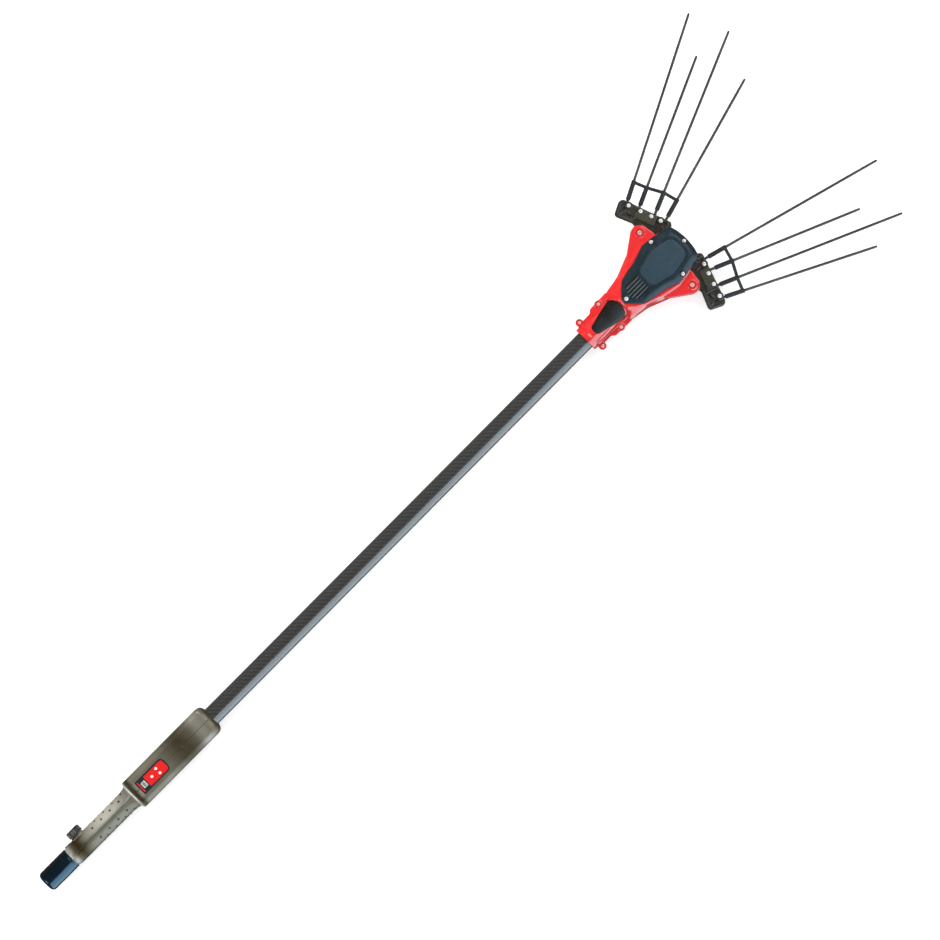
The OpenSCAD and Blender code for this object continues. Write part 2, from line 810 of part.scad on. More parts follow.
module clamp(left) color("#242622")
    side(left) difference() {
        slab(arm_half, plate_t) polygon([on_bar(plate_from, 0.8), on_bar(plate_to, 0.8),
            on_bar(plate_to, 19), on_bar(plate_to - 3, 21), on_bar(plate_from + 6, 21),
            on_bar(plate_from, 26)]);
        for (i = [1, 2]) rod_z(0, comb_bolt_r, far, on_bar(bolt_at[i], bolt_in));
    }

module bolts(left) color(steel)
    side(left) for (i = [0:3]) difference() {
        union() {
            rod_z(comb_bolt_from + 0.2, comb_bolt_r - fit, 9, on_bar(bolt_at[i], bolt_in));
            rod_z(plate_top, comb_head_r, comb_head_h, on_bar(bolt_at[i], bolt_in));
        }
        hex_z(plate_top + comb_head_h / 2, bolt_key_r, 3, on_bar(bolt_at[i], bolt_in));
    }

module tines(left, which, length, lean) color(carbon)
    side(left) for (i = which) at_tine(i, lean) {
        rod_x(-tine_root, tine_d / 2, tine_root + length - tine_d / 2);
        translate([length - tine_d / 2, 0, 0]) sphere(tine_d / 2);
    }

function tine_point(i, along, lean) =
    concat(on_bar(tine_at[i], 0) + along * cos(lean) * [cos(tine_out[i]), sin(tine_out[i])],
        [along * sin(lean)]);

module rung(a, b) {
    v = b - a;
    translate(a) rotate([0, acos(v[2] / norm(v)), atan2(v[1], v[0])])
        cylinder(r = rung_r, h = norm(v));
}

module tine_bridge(left, long) color("#17181a")
    side(left) {
        lean = [for (i = [0:3]) search(i, long) ? long_lean : -short_lean];
        difference() {
            union() {
                for (i = [0:3]) at_tine(i, lean[i]) rod_x(sleeve_from[i], sleeve_r, sleeve_len);
                for (i = [0:2]) rung(
                    tine_point(i, sleeve_from[i] + sleeve_len - 3.2, lean[i]),
                    tine_point(i + 1, sleeve_from[i + 1] + sleeve_len - 3.2, lean[i + 1]));
            }
            for (i = [0:3]) at_tine(i, lean[i]) rod_x(0, tine_d / 2 + fit, 80);
        }
    }

module left_arm() arm(true, left_long);
module left_bush() bush(true);
module left_clamp() clamp(true);
module left_bolts() bolts(true);
module left_long_tines() tines(true, left_long, long_tine, long_lean);
module left_short_tines() tines(true, left_short, short_tine, -short_lean);
module left_tine_bridge() tine_bridge(true, left_long);
module right_arm() arm(false, left_short);
module right_bush() bush(false);
module right_clamp() clamp(false);
module right_bolts() bolts(false);
module right_long_tines() tines(false, left_short, long_tine, long_lean);
module right_short_tines() tines(false, left_long, short_tine, -short_lean);
module right_tine_bridge() tine_bridge(false, left_short);

pole_tube();
butt_cap();
cap_clip();
handle_shell_left();
handle_shell_right();
handle_screws();
keypad_frame();
keypad_label();
display_lens();
display_module();
control_board();
switches();
inlet_socket();
inlet_contacts();
supply_lead();
motor_lead();
head_shell_upper();
head_shell_lower();
head_screws();
head_cover();
cover_bolts();
neck_pad();
base_plate();
base_screws();
pivot_pins();
motor_can();
motor_stator();
motor_mount();
crank_bearings();
bearing_bridge();
guide_rods();
motor_shaft();
rotor_magnet();
drive_pinion();
crank_shaft();
crown_gear();
crank_roller();
yoke();
yoke_pins();
left_arm();
left_bush();
left_clamp();
left_bolts();
left_long_tines();
left_short_tines();
left_tine_bridge();
right_arm();
right_bush();
right_clamp();
right_bolts();
right_long_tines();
right_short_tines();
right_tine_bridge();
button_power();
button_plus();
button_minus();
inlet_cap();
cap_seal();
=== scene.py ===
"""Looks of the twin-comb olive and fruit harvester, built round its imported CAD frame.

Lengths are millimetres in the model's frame until mesh_object() turns them into metres. Places come from
the CAD nodes' boxes and solids; the other numbers are the shapes' own proportions.
"""
import math

import bmesh
import bpy
import numpy as np
from mathutils import Matrix, Vector


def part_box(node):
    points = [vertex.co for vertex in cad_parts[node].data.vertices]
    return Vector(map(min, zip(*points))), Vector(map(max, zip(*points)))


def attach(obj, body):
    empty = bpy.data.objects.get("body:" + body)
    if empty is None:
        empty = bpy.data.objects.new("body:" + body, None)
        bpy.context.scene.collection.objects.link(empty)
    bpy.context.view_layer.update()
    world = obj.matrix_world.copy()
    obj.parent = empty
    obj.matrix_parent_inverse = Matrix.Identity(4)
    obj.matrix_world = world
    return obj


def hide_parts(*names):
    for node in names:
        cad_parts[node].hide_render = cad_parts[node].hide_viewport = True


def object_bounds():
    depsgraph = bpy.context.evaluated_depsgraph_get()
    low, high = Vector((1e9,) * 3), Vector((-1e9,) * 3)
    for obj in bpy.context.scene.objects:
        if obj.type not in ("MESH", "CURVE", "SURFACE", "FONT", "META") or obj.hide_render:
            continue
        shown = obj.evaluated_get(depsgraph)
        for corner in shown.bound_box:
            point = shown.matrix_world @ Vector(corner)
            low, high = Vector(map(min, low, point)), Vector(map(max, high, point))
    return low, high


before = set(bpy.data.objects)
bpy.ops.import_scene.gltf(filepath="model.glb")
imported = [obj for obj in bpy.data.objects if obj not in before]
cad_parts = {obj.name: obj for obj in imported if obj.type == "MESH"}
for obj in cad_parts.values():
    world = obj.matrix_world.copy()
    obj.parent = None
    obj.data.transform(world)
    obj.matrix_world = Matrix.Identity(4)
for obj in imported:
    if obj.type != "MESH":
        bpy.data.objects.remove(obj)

cad_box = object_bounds()
MM = 0.001
TOOL = "tool"
scene = bpy.context.scene


# --- places from the frame

def corners(node):
    """The lowest and highest corner of a CAD node, in millimetres."""
    lo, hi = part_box(node)
    return np.array(lo) / MM, np.array(hi) / MM


def islands(node):
    """The separate solids of a CAD node, each an array of its points in millimetres."""
    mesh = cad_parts[node].data
    points = np.array([v.co for v in mesh.vertices]) / MM
    _, key = np.unique(np.round(points, 2), axis=0, return_inverse=True)
    key = key.ravel()
    parent = list(range(key.max() + 1))

    def root(i):
        while parent[i] != i:
            parent[i] = parent[parent[i]]
            i = parent[i]
        return i

    for polygon in mesh.polygons:
        first = root(key[polygon.vertices[0]])
        for v in polygon.vertices:
            parent[root(key[v])] = first
    groups = {}
    for i, k in enumerate(key):
        groups.setdefault(root(k), []).append(i)
    found = [points[g] for g in groups.values()]
    return sorted(found, key=lambda p: (round(p[:, 0].mean()), p[:, 1].mean()))


def middle(points):
    return (points.min(axis=0) + points.max(axis=0)) / 2


def foot(at):
    return at[0], at[1], 0


HEAD_X = corners("head_shell_upper")[0][0]
PIVOT = middle(np.array(corners("left_bush")))[:2] - [HEAD_X, 0]
POLE_R = corners("pole_tube")[1][2]
GRIP_X = corners("handle_shell_left")[0][0]
BOX_END = corners("handle_shell_left")[1][0]
INLET = middle(np.array(corners("inlet_cap")))
KEYPAD_LO, KEYPAD_HI = corners("keypad_frame")
KEYPAD_X = KEYPAD_LO[0]
REST_Z = corners("base_plate")[0][2]
BORE_R = POLE_R + 0.1                       # what the pole slides into
SEAM = 0.03                                 # half the gap between two shells


# --- mesh helpers

def add_object(name, data):
    made = bpy.data.objects.new(name, data)
    scene.collection.objects.link(made)
    return made


def mesh_object(name, points, faces, sharp=35):
    mesh = bpy.data.meshes.new(name)
    mesh.from_pydata([tuple(p) for p in np.asarray(points) * MM], [], [tuple(f) for f in faces])
    work = bmesh.new()
    work.from_mesh(mesh)
    bmesh.ops.remove_doubles(work, verts=work.verts, dist=1e-6)
    bmesh.ops.dissolve_degenerate(work, edges=work.edges, dist=1e-7)
    bmesh.ops.recalc_face_normals(work, faces=work.faces)
    work.to_mesh(mesh)
    work.free()
    return soften(add_object(name, mesh), sharp)


def soften(piece, sharp=35):
    """Smooth shading, broken where two faces meet at more than that angle."""
    for polygon in piece.data.polygons:
        polygon.use_smooth = True
    piece.data.set_sharp_from_angle(angle=math.radians(sharp))
    return piece


def band_faces(rings, count, closed=True, wrap=False):
    """Quads between rings of count points each, stored one after the other."""
    faces = []
    for i in range(rings if wrap else rings - 1):
        for j in range(count if closed else count - 1):
            a, b = i * count + j, i * count + (j + 1) % count
            step = (i + 1) % rings * count - i * count
            faces.append((a, b, b + step, a + step))
    return faces


def loft(name, rings, sharp=35):
    """A closed solid through rings of equal length."""
    count = len(rings[0])
    last = (len(rings) - 1) * count
    faces = band_faces(len(rings), count) + [tuple(range(count))[::-1], tuple(range(last, last + count))]
    return mesh_object(name, np.concatenate(rings), faces, sharp)


AXES = {"X": ((0, 1, 0), (0, 0, 1), (1, 0, 0)), "Y": ((0, 0, 1), (1, 0, 0), (0, 1, 0)),
        "Z": ((1, 0, 0), (0, 1, 0), (0, 0, 1))}


def lathe(name, profile, centre=(0, 0, 0), axis="Z", segments=64, radius=None, sharp=35):
    """Turns a closed profile of (radius, height) about an axis. radius(angle, r, h) may shape it."""
    across, up, along = (np.array(v, float) for v in AXES[axis])
    angles = np.linspace(0, 2 * math.pi, segments, endpoint=False)
    rings = []
    for r, h in profile:
        shaped = np.array([radius(a, r, h) if radius else r for a in angles])
        rings.append(np.array(centre) + np.outer(shaped * np.cos(angles), across)
                     + np.outer(shaped * np.sin(angles), up) + h * along)
    faces = band_faces(len(rings), segments)
    if profile[0] != profile[-1]:
        faces += [tuple(range(segments)), tuple(range((len(rings) - 1) * segments, len(rings) * segments))]
    return mesh_object(name, np.concatenate(rings), faces, sharp)


def rounded(profile, radii, steps=4):
    """A closed outline with its corners rounded; radii is one number or one per point."""
    points = [np.array(p, float) for p in profile]
    count = len(points)
    radii = [radii] * count if np.isscalar(radii) else radii
    out = []
    for i, p in enumerate(points):
        a, b = points[i - 1] - p, points[(i + 1) % count] - p
        la, lb = np.linalg.norm(a), np.linalg.norm(b)
        cosine = np.clip(a @ b / la / lb, -1, 1)
        half = math.acos(cosine) / 2
        reach = min(radii[i] / max(math.tan(half), 1e-6), la * 0.49, lb * 0.49)
        if radii[i] <= 0 or half > math.radians(88):
            out.append(p)
            continue
        start, end = p + a / la * reach, p + b / lb * reach
        for t in np.linspace(0, 1, steps + 1):
            out.append((1 - t) ** 2 * start + 2 * t * (1 - t) * p + t ** 2 * end)
    return np.array(out)


def rectangle(x0, y0, x1, y1, radii, steps=4):
    return rounded([(x0, y0), (x1, y0), (x1, y1), (x0, y1)], radii, steps)


def inset(outline, distance):
    """The outline moved inwards by a short distance."""
    x, y = outline.T
    turn = 1 if np.sum(x * np.roll(y, -1) - np.roll(x, -1) * y) > 0 else -1
    ahead = np.roll(outline, -1, axis=0) - outline
    ahead /= np.linalg.norm(ahead, axis=1)[:, None] + 1e-12
    normal = turn * np.stack([-ahead[:, 1], ahead[:, 0]], axis=1)
    both = normal + np.roll(normal, 1, axis=0)
    both /= np.linalg.norm(both, axis=1)[:, None] + 1e-12
    stretch = 1 / np.clip(np.sum(both * normal, axis=1), 0.6, 1)
    return outline + both * (distance * stretch)[:, None]


def resample(outline, spacing):
    """The closed outline with points at about that spacing."""
    closed = np.vstack([outline, outline[:1]])
    run = np.concatenate([[0], np.cumsum(np.linalg.norm(np.diff(closed, axis=0), axis=1))])
    at = np.linspace(0, run[-1], max(8, int(run[-1] / spacing)), endpoint=False)
    return np.stack([np.interp(at, run, closed[:, k]) for k in (0, 1)], axis=1)


def lift(outline, z):
    return np.column_stack([outline, np.full(len(outline), z)])


def plate(name, outline, z0, z1, edge=0.6, steps=3):
    """A plate of an outline in XY from z0 to z1, with its edges rounded."""
    turns = np.linspace(0, math.pi / 2, steps + 1)
    rounds = [(inset(outline, edge * (1 - math.sin(a))), edge * (1 - math.cos(a))) for a in turns]
    rings = [lift(flat, z0 + rise) for flat, rise in rounds]
    return loft(name, rings + [lift(flat, z1 - rise) for flat, rise in rounds[::-1]])


def mirrored(half):
    """A half outline in y > 0 closed by its mirror image."""
    half = np.array(half, float)
    return np.vstack([half, (half * [1, -1])[::-1]])


def join(name, parts):
    """One object of several."""
    merged = bmesh.new()
    for part in parts:
        merged.from_mesh(part.data)
        bpy.data.objects.remove(part)
    mesh = bpy.data.meshes.new(name)
    merged.to_mesh(mesh)
    merged.free()
    return add_object(name, mesh)


def bake_modifiers(piece):
    bpy.context.view_layer.update()
    made = bpy.data.meshes.new_from_object(piece.evaluated_get(bpy.context.evaluated_depsgraph_get()))
    piece.modifiers.clear()
    piece.data = made
    return piece


def cut(piece, *tools, operation="DIFFERENCE"):
    """Takes the tools out of the piece, or adds them to it."""
    for tool in tools:
        step = piece.modifiers.new("cut", "BOOLEAN")
        step.operation = operation
        step.solver = "EXACT"
        step.object = tool
    bake_modifiers(piece)
    for tool in tools:
        bpy.data.objects.remove(tool)
    return piece


def melt(piece, voxel, smooth, keep=None):
    """Remeshes a piece of overlapping solids into one skin with softened edges."""
    remesh = piece.modifiers.new("melt", "REMESH")
    remesh.mode = "VOXEL"
    remesh.voxel_size = voxel * MM
    remesh.adaptivity = 0
    relax = piece.modifiers.new("relax", "SMOOTH")
    relax.factor = 0.5
    relax.iterations = smooth
    if keep:
        thin = piece.modifiers.new("thin", "DECIMATE")
        thin.ratio = keep
    return soften(bake_modifiers(piece), 60)


def divide(piece, step):
    """Splits a piece's large faces on a grid, so that a hole cut in one leaves no awkward face."""
    work = bmesh.new()
    work.from_mesh(piece.data)
    for axis in (0, 1):
        places = [v.co[axis] for v in work.verts]
        normal = Vector([float(k == axis) for k in range(3)])
        for place in np.arange(min(places) + step * MM / 2, max(places), step * MM):
            bmesh.ops.bisect_plane(work, geom=work.verts[:] + work.edges[:] + work.faces[:],
                                   plane_co=normal * place, plane_no=normal)
    work.to_mesh(piece.data)
    work.free()
    return piece


def box_tool(lo, hi):
    lo, hi = np.array(lo, float), np.array(hi, float)
    points = [[(lo, hi)[i][0], (lo, hi)[j][1], (lo, hi)[k][2]]
              for k in (0, 1) for j in (0, 1) for i in (0, 1)]
    faces = [(0, 2, 3, 1), (4, 5, 7, 6), (0, 1, 5, 4), (2, 6, 7, 3), (0, 4, 6, 2), (1, 3, 7, 5)]
    return mesh_object("tool_box", points, faces)


def rod_tool(centre, radius, h0, h1, axis="Z", segments=48):
    return lathe("tool_rod", [(radius, h0), (radius, h1)], centre, axis, segments)


def capsule(start, end, radius):
    """A round bar with domed ends between two points."""
    start, end = Vector(start), Vector(end)
    length = (end - start).length
    dome = [(0, 0), (0.45, 0.11), (0.8, 0.4), (1, 1)]
    profile = [(r * radius, h * radius) for r, h in dome]
    profile += [(r * radius, length - h * radius) for r, h in dome[::-1]]
    bar = lathe("bar", profile, axis="X", segments=20)
    turn = (end - start).to_track_quat("X", "Z").to_matrix().to_4x4()
    bar.data.transform(Matrix.Translation(start * MM) @ turn)
    return bar


def flip(piece, axis):
    """Mirrors a piece in the plane where that axis is 0."""
    piece.data.transform(Matrix.Scale(-1, 4, [float(axis == name) for name in "XYZ"]))
    piece.data.flip_normals()
    return piece


def finish(piece, look, slot, *nodes, body=TOOL):
    """Gives a piece its material, its body and the CAD nodes that it stands for; slot is not used."""
    piece.data.materials.clear()
    piece.data.materials.append(MAT[look])
    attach(piece, body)
    if nodes:
        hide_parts(*nodes)
    return piece


def table_curve(table, x, soft=0.0):
    """Reads a table of (x, value) at x, smoothed over a width of soft."""
    xs, ys = np.array(table, float).T
    if not soft:
        return np.interp(x, xs, ys)
    shifts = np.linspace(-1.6, 1.6, 9)
    weights = np.exp(-shifts ** 2)
    values = [w * np.interp(np.asarray(x) + s * soft, xs, ys) for s, w in zip(shifts, weights)]
    return np.sum(values, axis=0) / weights.sum()


# --- materials

class Finish:
    """A Principled material with small helpers for its procedural detail."""

    def __init__(self, name, color, rough, **sockets):
        self.material = bpy.data.materials.new(name)
        self.material.use_nodes = True
        self.tree = self.material.node_tree
        self.shader = self.tree.nodes["Principled BSDF"]
        self.shader.inputs["Base Color"].default_value = (*color, 1)
        self.shader.inputs["Roughness"].default_value = rough
        for key, value in sockets.items():
            socket = self.shader.inputs[key.replace("_", " ").title().replace("Ior", "IOR")]
            socket.default_value = (*value, 1) if isinstance(value, tuple) else value
        self.coords = self.node("TexCoord").outputs["Object"]
        self.height = None

    def link(self, output, target):
        self.tree.links.new(output, target)

    def node(self, kind, inputs=None, **settings):
        """A new node with its settings made, and its inputs set or linked, by name or number."""
        made = self.tree.nodes.new("ShaderNode" + kind)
        for key, value in settings.items():
            setattr(made, key, value)
        for key, value in (inputs or {}).items():
            if isinstance(value, bpy.types.NodeSocket):
                self.link(value, made.inputs[key])
            else:
                made.inputs[key].default_value = value
        return made

    def math(self, operation, *values):
        return self.node("Math", dict(enumerate(values)), operation=operation).outputs[0]

    def split(self):
        return self.node("SeparateXYZ", {0: self.coords}).outputs

    def noise(self, scale, detail, rough, stretch=None):
        """Noise, or with stretch noise of another scale along each axis."""
        coords = self.coords
        if stretch:
            coords = self.node("Mapping", {"Scale": stretch, "Vector": coords}).outputs[0]
        inputs = {"Scale": scale, "Detail": detail, "Roughness": rough, "Vector": coords}
        return self.node("TexNoise", inputs).outputs["Fac"]

    def ramp(self, value, low, high, out_low=0.0, out_high=1.0, kind="LINEAR"):
        inputs = {"Value": value, "From Min": low, "From Max": high, "To Min": out_low, "To Max": out_high}
        return self.node("MapRange", inputs, interpolation_type=kind).outputs[0]

    def tint(self, factor, color, amount):
        """Mixes the base colour towards another one by a factor."""
        base = self.shader.inputs["Base Color"]
        before = base.links[0].from_socket if base.is_linked else base.default_value[:]
        inputs = {"Factor": self.math("MULTIPLY", factor, amount), "A": before, "B": (*color, 1)}
        self.link(self.node("Mix", inputs, data_type="RGBA").outputs["Result"], base)

    def clouds(self, color, amount, scale, detail=6, rough=0.6, low=0.45, high=0.75, stretch=None):
        """Tints the base colour in soft patches."""
        self.tint(self.ramp(self.noise(scale, detail, rough, stretch), low, high), color, amount)

    def roughen(self, factor, low, high):
        self.link(self.ramp(factor, 0, 1, low, high), self.shader.inputs["Roughness"])

    def bump(self, height, distance, strength):
        """Adds a height, in millimetres, to the surface's small relief."""
        inputs = {"Strength": strength, "Distance": distance * MM, "Height": height}
        if self.height is not None:
            inputs["Normal"] = self.height
        self.height = self.node("Bump", inputs).outputs[0]
        self.link(self.height, self.shader.inputs["Normal"])

    def wear_and_highlight_edges(self, color, amount):
        """Lightens convex edges, broken up by noise: rubbed wear, and on some parts a painted highlight
        along ridges and rims.
        """
        edge = self.ramp(self.node("NewGeometry").outputs["Pointiness"], 0.52, 0.6)
        broken = self.ramp(self.noise(180, 5, 0.65), 0.42, 0.62)
        self.tint(self.math("MULTIPLY", edge, broken), color, amount)

    def near(self, place, reach):
        """1 at a place along the X axis, in millimetres, falling smoothly to 0 at reach from it."""
        away = self.math("ABSOLUTE", self.math("SUBTRACT", self.split()["X"], place * MM))
        return self.ramp(away, reach * MM, 0, kind="SMOOTHSTEP")


def carbon_weave(name, tow):
    """Twill-woven carbon cloth round the X axis, tow millimetres wide, under clear resin; the tows on top
    are painted lighter as a painted sheen, and the tows' edges darker as painted shade.
    """
    f = Finish(name, (0.012, 0.013, 0.013), 0.3, coat_weight=0.8, coat_roughness=0.14)
    x, y, z = f.split()
    rings = round(2 * math.pi * POLE_R / tow / 4) * 4
    u = f.math("MULTIPLY", x, 1 / (tow * MM))
    turns = f.math("MULTIPLY", f.math("ARCTAN2", y, z), rings / (2 * math.pi))
    v = f.math("ADD", turns, 1000.0)
    step = f.math("ADD", f.math("FLOOR", u), f.math("FLOOR", v))
    over = f.math("LESS_THAN", f.math("MODULO", step, 4.0), 1.5)
    along, across = (f.math("SINE", f.math("MULTIPLY", f.math("FRACT", way), math.pi)) for way in (u, v))
    tows = f.node("Mix", {"Factor": over, 2: along, 3: across}, data_type="FLOAT").outputs[0]
    fibres = f.noise(1.0, 2, 0.6, (900, 14000, 14000))
    # Painted sheen: the tows on top are painted lighter.
    f.tint(over, (0.04, 0.041, 0.04), 0.6)
    # Painted shade: darker towards each tow's edges.
    f.tint(f.ramp(tows, 0.1, 0.9, 1, 0), (0.006, 0.006, 0.006), 0.7)
    f.tint(fibres, (0.09, 0.09, 0.088), 0.22)
    f.roughen(tows, 0.42, 0.26)
    f.bump(tows, 0.12, 0.4)
    f.bump(fibres, 0.03, 0.3)
    return f.material


def carbon_rod(name):
    """Pultruded carbon: long fibres along the rod's own X axis, rubbed grey in places."""
    f = Finish(name, (0.012, 0.012, 0.011), 0.5, coat_weight=0.1, coat_roughness=0.3)
    fibres = f.noise(1.0, 4, 0.6, (60, 5000, 5000))
    f.tint(f.ramp(fibres, 0.4, 0.75), (0.06, 0.06, 0.055), 0.6)
    f.clouds((0.11, 0.107, 0.09), 0.5, 1.0, 4, 0.6, 0.5, 0.75, (25, 300, 300))
    f.roughen(fibres, 0.42, 0.62)
    f.bump(fibres, 0.05, 0.5)
    return f.material


def moulded(name, color, rough, light, coat=0.0, grain=0.0, grain_size=0.4, edge_wear_and_highlight=0.25, drift=0.16, **more):
    """Injection-moulded plastic: faint colour drift, orange peel or spark-eroded grain, edges lightened as
    rubbed wear and as painted highlight.
    """
    more.setdefault("coat_roughness", 0.08)
    f = Finish(name, color, rough, coat_weight=coat, **more)
    f.clouds(light, drift, 22, 4, 0.55, 0.35, 0.7)
    f.wear_and_highlight_edges(light, edge_wear_and_highlight)
    f.clouds(light, 0.06, 140)
    f.roughen(f.noise(70, 4, 0.6), max(rough - 0.07, 0.02), rough + 0.09)
    f.bump(f.noise(260, 2, 0.4), 0.05, 0.35)
    if grain:
        f.bump(f.noise(1000 / grain_size, 3, 0.6), grain, 0.8)
    return f.material


def lacquer(name, color, dark, rough):
    """Metallic lacquer on plastic: fine flake, darker clouds at random, and painted reflections along the
    part: brown bands of painted dark reflection and cream bands of painted highlight, one of them on the +Y
    side only.
    """
    f = Finish(name, color, rough, metallic=0.4, specular_ior_level=0.12)
    flake = f.noise(5200, 1, 0.5)
    broken = f.ramp(f.noise(16, 3, 0.55), 0.3, 0.55, 0.75, 1)
    # The +Y side, where one cream band is painted on as a painted highlight.
    left = f.ramp(f.split()["Y"], -1 * MM, 5 * MM)
    f.clouds(dark, 0.35, 30, 3, 0.5, 0.4, 0.7)
    f.tint(f.ramp(flake, 0.52, 0.75), (0.62, 0.6, 0.52), 0.16)
    # Painted reflections: brown and cream bands at fixed places along X.
    for place, reach, color, amount, one_side in PAINTED_REFLECTIONS:
        painted_band = f.math("MULTIPLY", f.near(place, reach), left if one_side else broken)
        f.tint(painted_band, color, amount)
    f.wear_and_highlight_edges((0.6, 0.59, 0.52), 0.6)
    f.roughen(f.noise(60, 5, 0.6), rough - 0.08, rough + 0.12)
    f.bump(f.noise(190, 2, 0.4), 0.06, 0.4)
    f.bump(flake, 0.01, 0.4)
    return f.material


def metal(name, color, rough, metallic=1.0):
    """Turned or plated metal with fine lines."""
    f = Finish(name, color, rough, metallic=metallic)
    lines = f.noise(1.0, 3, 0.6, (900, 900, 9000))
    f.tint(f.ramp(lines, 0.3, 0.7), tuple(c * 0.72 for c in color), 0.4)
    f.clouds(tuple(c * 0.5 for c in color), 0.3, 240)
    f.roughen(lines, rough - 0.08, rough + 0.14)
    f.bump(lines, 0.04, 0.5)
    return f.material


def rubber(name, color, sheen):
    f = Finish(name, color, 0.6, specular_ior_level=0.3, sheen_weight=0.08, sheen_roughness=0.4,
               sheen_tint=sheen)
    f.clouds((0.12, 0.12, 0.11), 0.06, 90)
    f.clouds((0.02, 0.021, 0.023), 0.4, 30, 4, 0.6, 0.4, 0.7)
    f.roughen(f.noise(120, 4, 0.6), 0.5, 0.72)
    f.bump(f.noise(2600, 2, 0.5), 0.03, 0.5)
    return f.material


# Painted reflections on the handle's lacquer: a brown painted dark reflection and a cream painted highlight,
# in rows of (x, reach, colour, amount, +Y side only).
REFLECTION_BROWN, HIGHLIGHT_CREAM = (0.028, 0.019, 0.004), (0.85, 0.84, 0.78)
PAINTED_REFLECTIONS = [(GRIP_X + 24, 26, REFLECTION_BROWN, 1.0, False), (GRIP_X + 2, 12, HIGHLIGHT_CREAM, 0.3, False),
         (GRIP_X + 95, 70, HIGHLIGHT_CREAM, 0.38, True), (KEYPAD_X - 18, 4, HIGHLIGHT_CREAM, 0.8, False),
         (KEYPAD_X - 10, 9, REFLECTION_BROWN, 1.0, False), (BOX_END - 74, 56, REFLECTION_BROWN, 0.9, False),
         (BOX_END - 28, 20, HIGHLIGHT_CREAM, 0.14, False), (BOX_END, 8, REFLECTION_BROWN, 1.0, False)]

MAT = {
    "weave": carbon_weave("carbon_weave", 2.4),
    "tine": carbon_rod("carbon_rod"),
    "red": moulded("red_shell", (0.6, 0.005, 0.007), 0.34, (0.8, 0.06, 0.05), coat=1.0, edge_wear_and_highlight=0.6,
                   coat_ior=1.62, coat_roughness=0.13, specular_ior_level=0.2),
    # The slate cover's edges are lightened strongly: painted highlight on its rims.
    "slate": moulded("slate_cover", (0.007, 0.013, 0.018), 0.36, (0.12, 0.17, 0.21), coat=0.04,
                     grain=0.02, grain_size=0.5, edge_wear_and_highlight=0.9, drift=0.04, specular_ior_level=0.32,
                     specular_tint=(0.6, 0.82, 1.0)),
    # A lighter copy of the cover's slate: painted light on the panel's top.
    "lit_panel": moulded("slate_panel_painted_light", (0.018, 0.036, 0.052), 0.4, (0.12, 0.17, 0.21), grain=0.02,
                     grain_size=0.5, edge_wear_and_highlight=0, drift=0.05, specular_ior_level=0.4,
                     specular_tint=(0.6, 0.82, 1.0)),
    # A lighter slate for the vent ribs: painted highlight on their tops.
    "rib": moulded("slate_rib_highlight", (0.05, 0.078, 0.095), 0.36, (0.2, 0.25, 0.29), edge_wear_and_highlight=0.3),
    "gunmetal": lacquer("gunmetal_shell", (0.15, 0.142, 0.112), (0.07, 0.058, 0.032), 0.36),
    "navy": moulded("butt_plastic", (0.001, 0.002, 0.004), 0.22, (0.004, 0.012, 0.02), drift=0.1,
                    specular_ior_level=0.8, specular_tint=(0.38, 0.72, 1.0)),
    "black": moulded("black_plastic", (0.006, 0.006, 0.007), 0.34, (0.06, 0.06, 0.06), coat=0.2,
                     grain=0.02, drift=0.06),
    # The knurled cap's ridges are lightened: painted highlights between dark grooves.
    "knurl": moulded("knurled_black", (0.003, 0.003, 0.003), 0.2, (0.26, 0.25, 0.21), coat=0.6, edge_wear_and_highlight=0.6,
                     drift=0.0),
    # The combs' arms and clamps have strongly lightened edges: painted highlights as well as wear.
    "comb": moulded("comb_black", (0.006, 0.006, 0.005), 0.4, (0.2, 0.2, 0.13), coat=0.1, grain=0.16,
                    grain_size=2.4, edge_wear_and_highlight=0.9, drift=0.04),
    "olive": moulded("clamp_olive", (0.017, 0.016, 0.008), 0.45, (0.24, 0.23, 0.14), grain=0.16,
                     grain_size=1.8, edge_wear_and_highlight=0.9, drift=0.06),
    "pad": rubber("pad_rubber", (0.003, 0.003, 0.003), (0.3, 0.3, 0.3)),
    "bridge": rubber("bridge_rubber", (0.01, 0.012, 0.017), (0.45, 0.6, 0.9)),
    "steel": metal("zinc_steel", (0.9, 0.91, 0.92), 0.3, metallic=0.55),
    # Steel tinted pink, used for the pivot pins and lug screws.
    "pink": metal("pink_steel", (0.9, 0.5, 0.52), 0.3, metallic=0.5),
    "alloy": metal("machined_alloy", (0.6, 0.61, 0.62), 0.34),
    "brass": metal("machined_brass", (0.62, 0.44, 0.16), 0.3),
    "magnet": metal("magnet_nickel", (0.2, 0.2, 0.21), 0.4),
    "label": moulded("label_film", (0.62, 0.004, 0.003), 0.4, (0.6, 0.02, 0.015), grain=0.02, edge_wear_and_highlight=0,
                     specular_ior_level=0.25),
    "lens": moulded("smoked_lens", (0.012, 0.016, 0.02), 0.1, (0.03, 0.04, 0.05), coat=0.9, edge_wear_and_highlight=0),
    "glyph": moulded("key_silicone", (0.86, 0.86, 0.84), 0.42, (0.95, 0.95, 0.94)),
    "digits": moulded("display_face", (0.45, 0.48, 0.46), 0.32, (0.6, 0.62, 0.6)),
    "board": moulded("circuit_board", (0.02, 0.14, 0.06), 0.4, (0.1, 0.3, 0.16)),
    "copper": metal("copper_windings", (0.72, 0.3, 0.12), 0.36),
}


# --- camera, floor and light

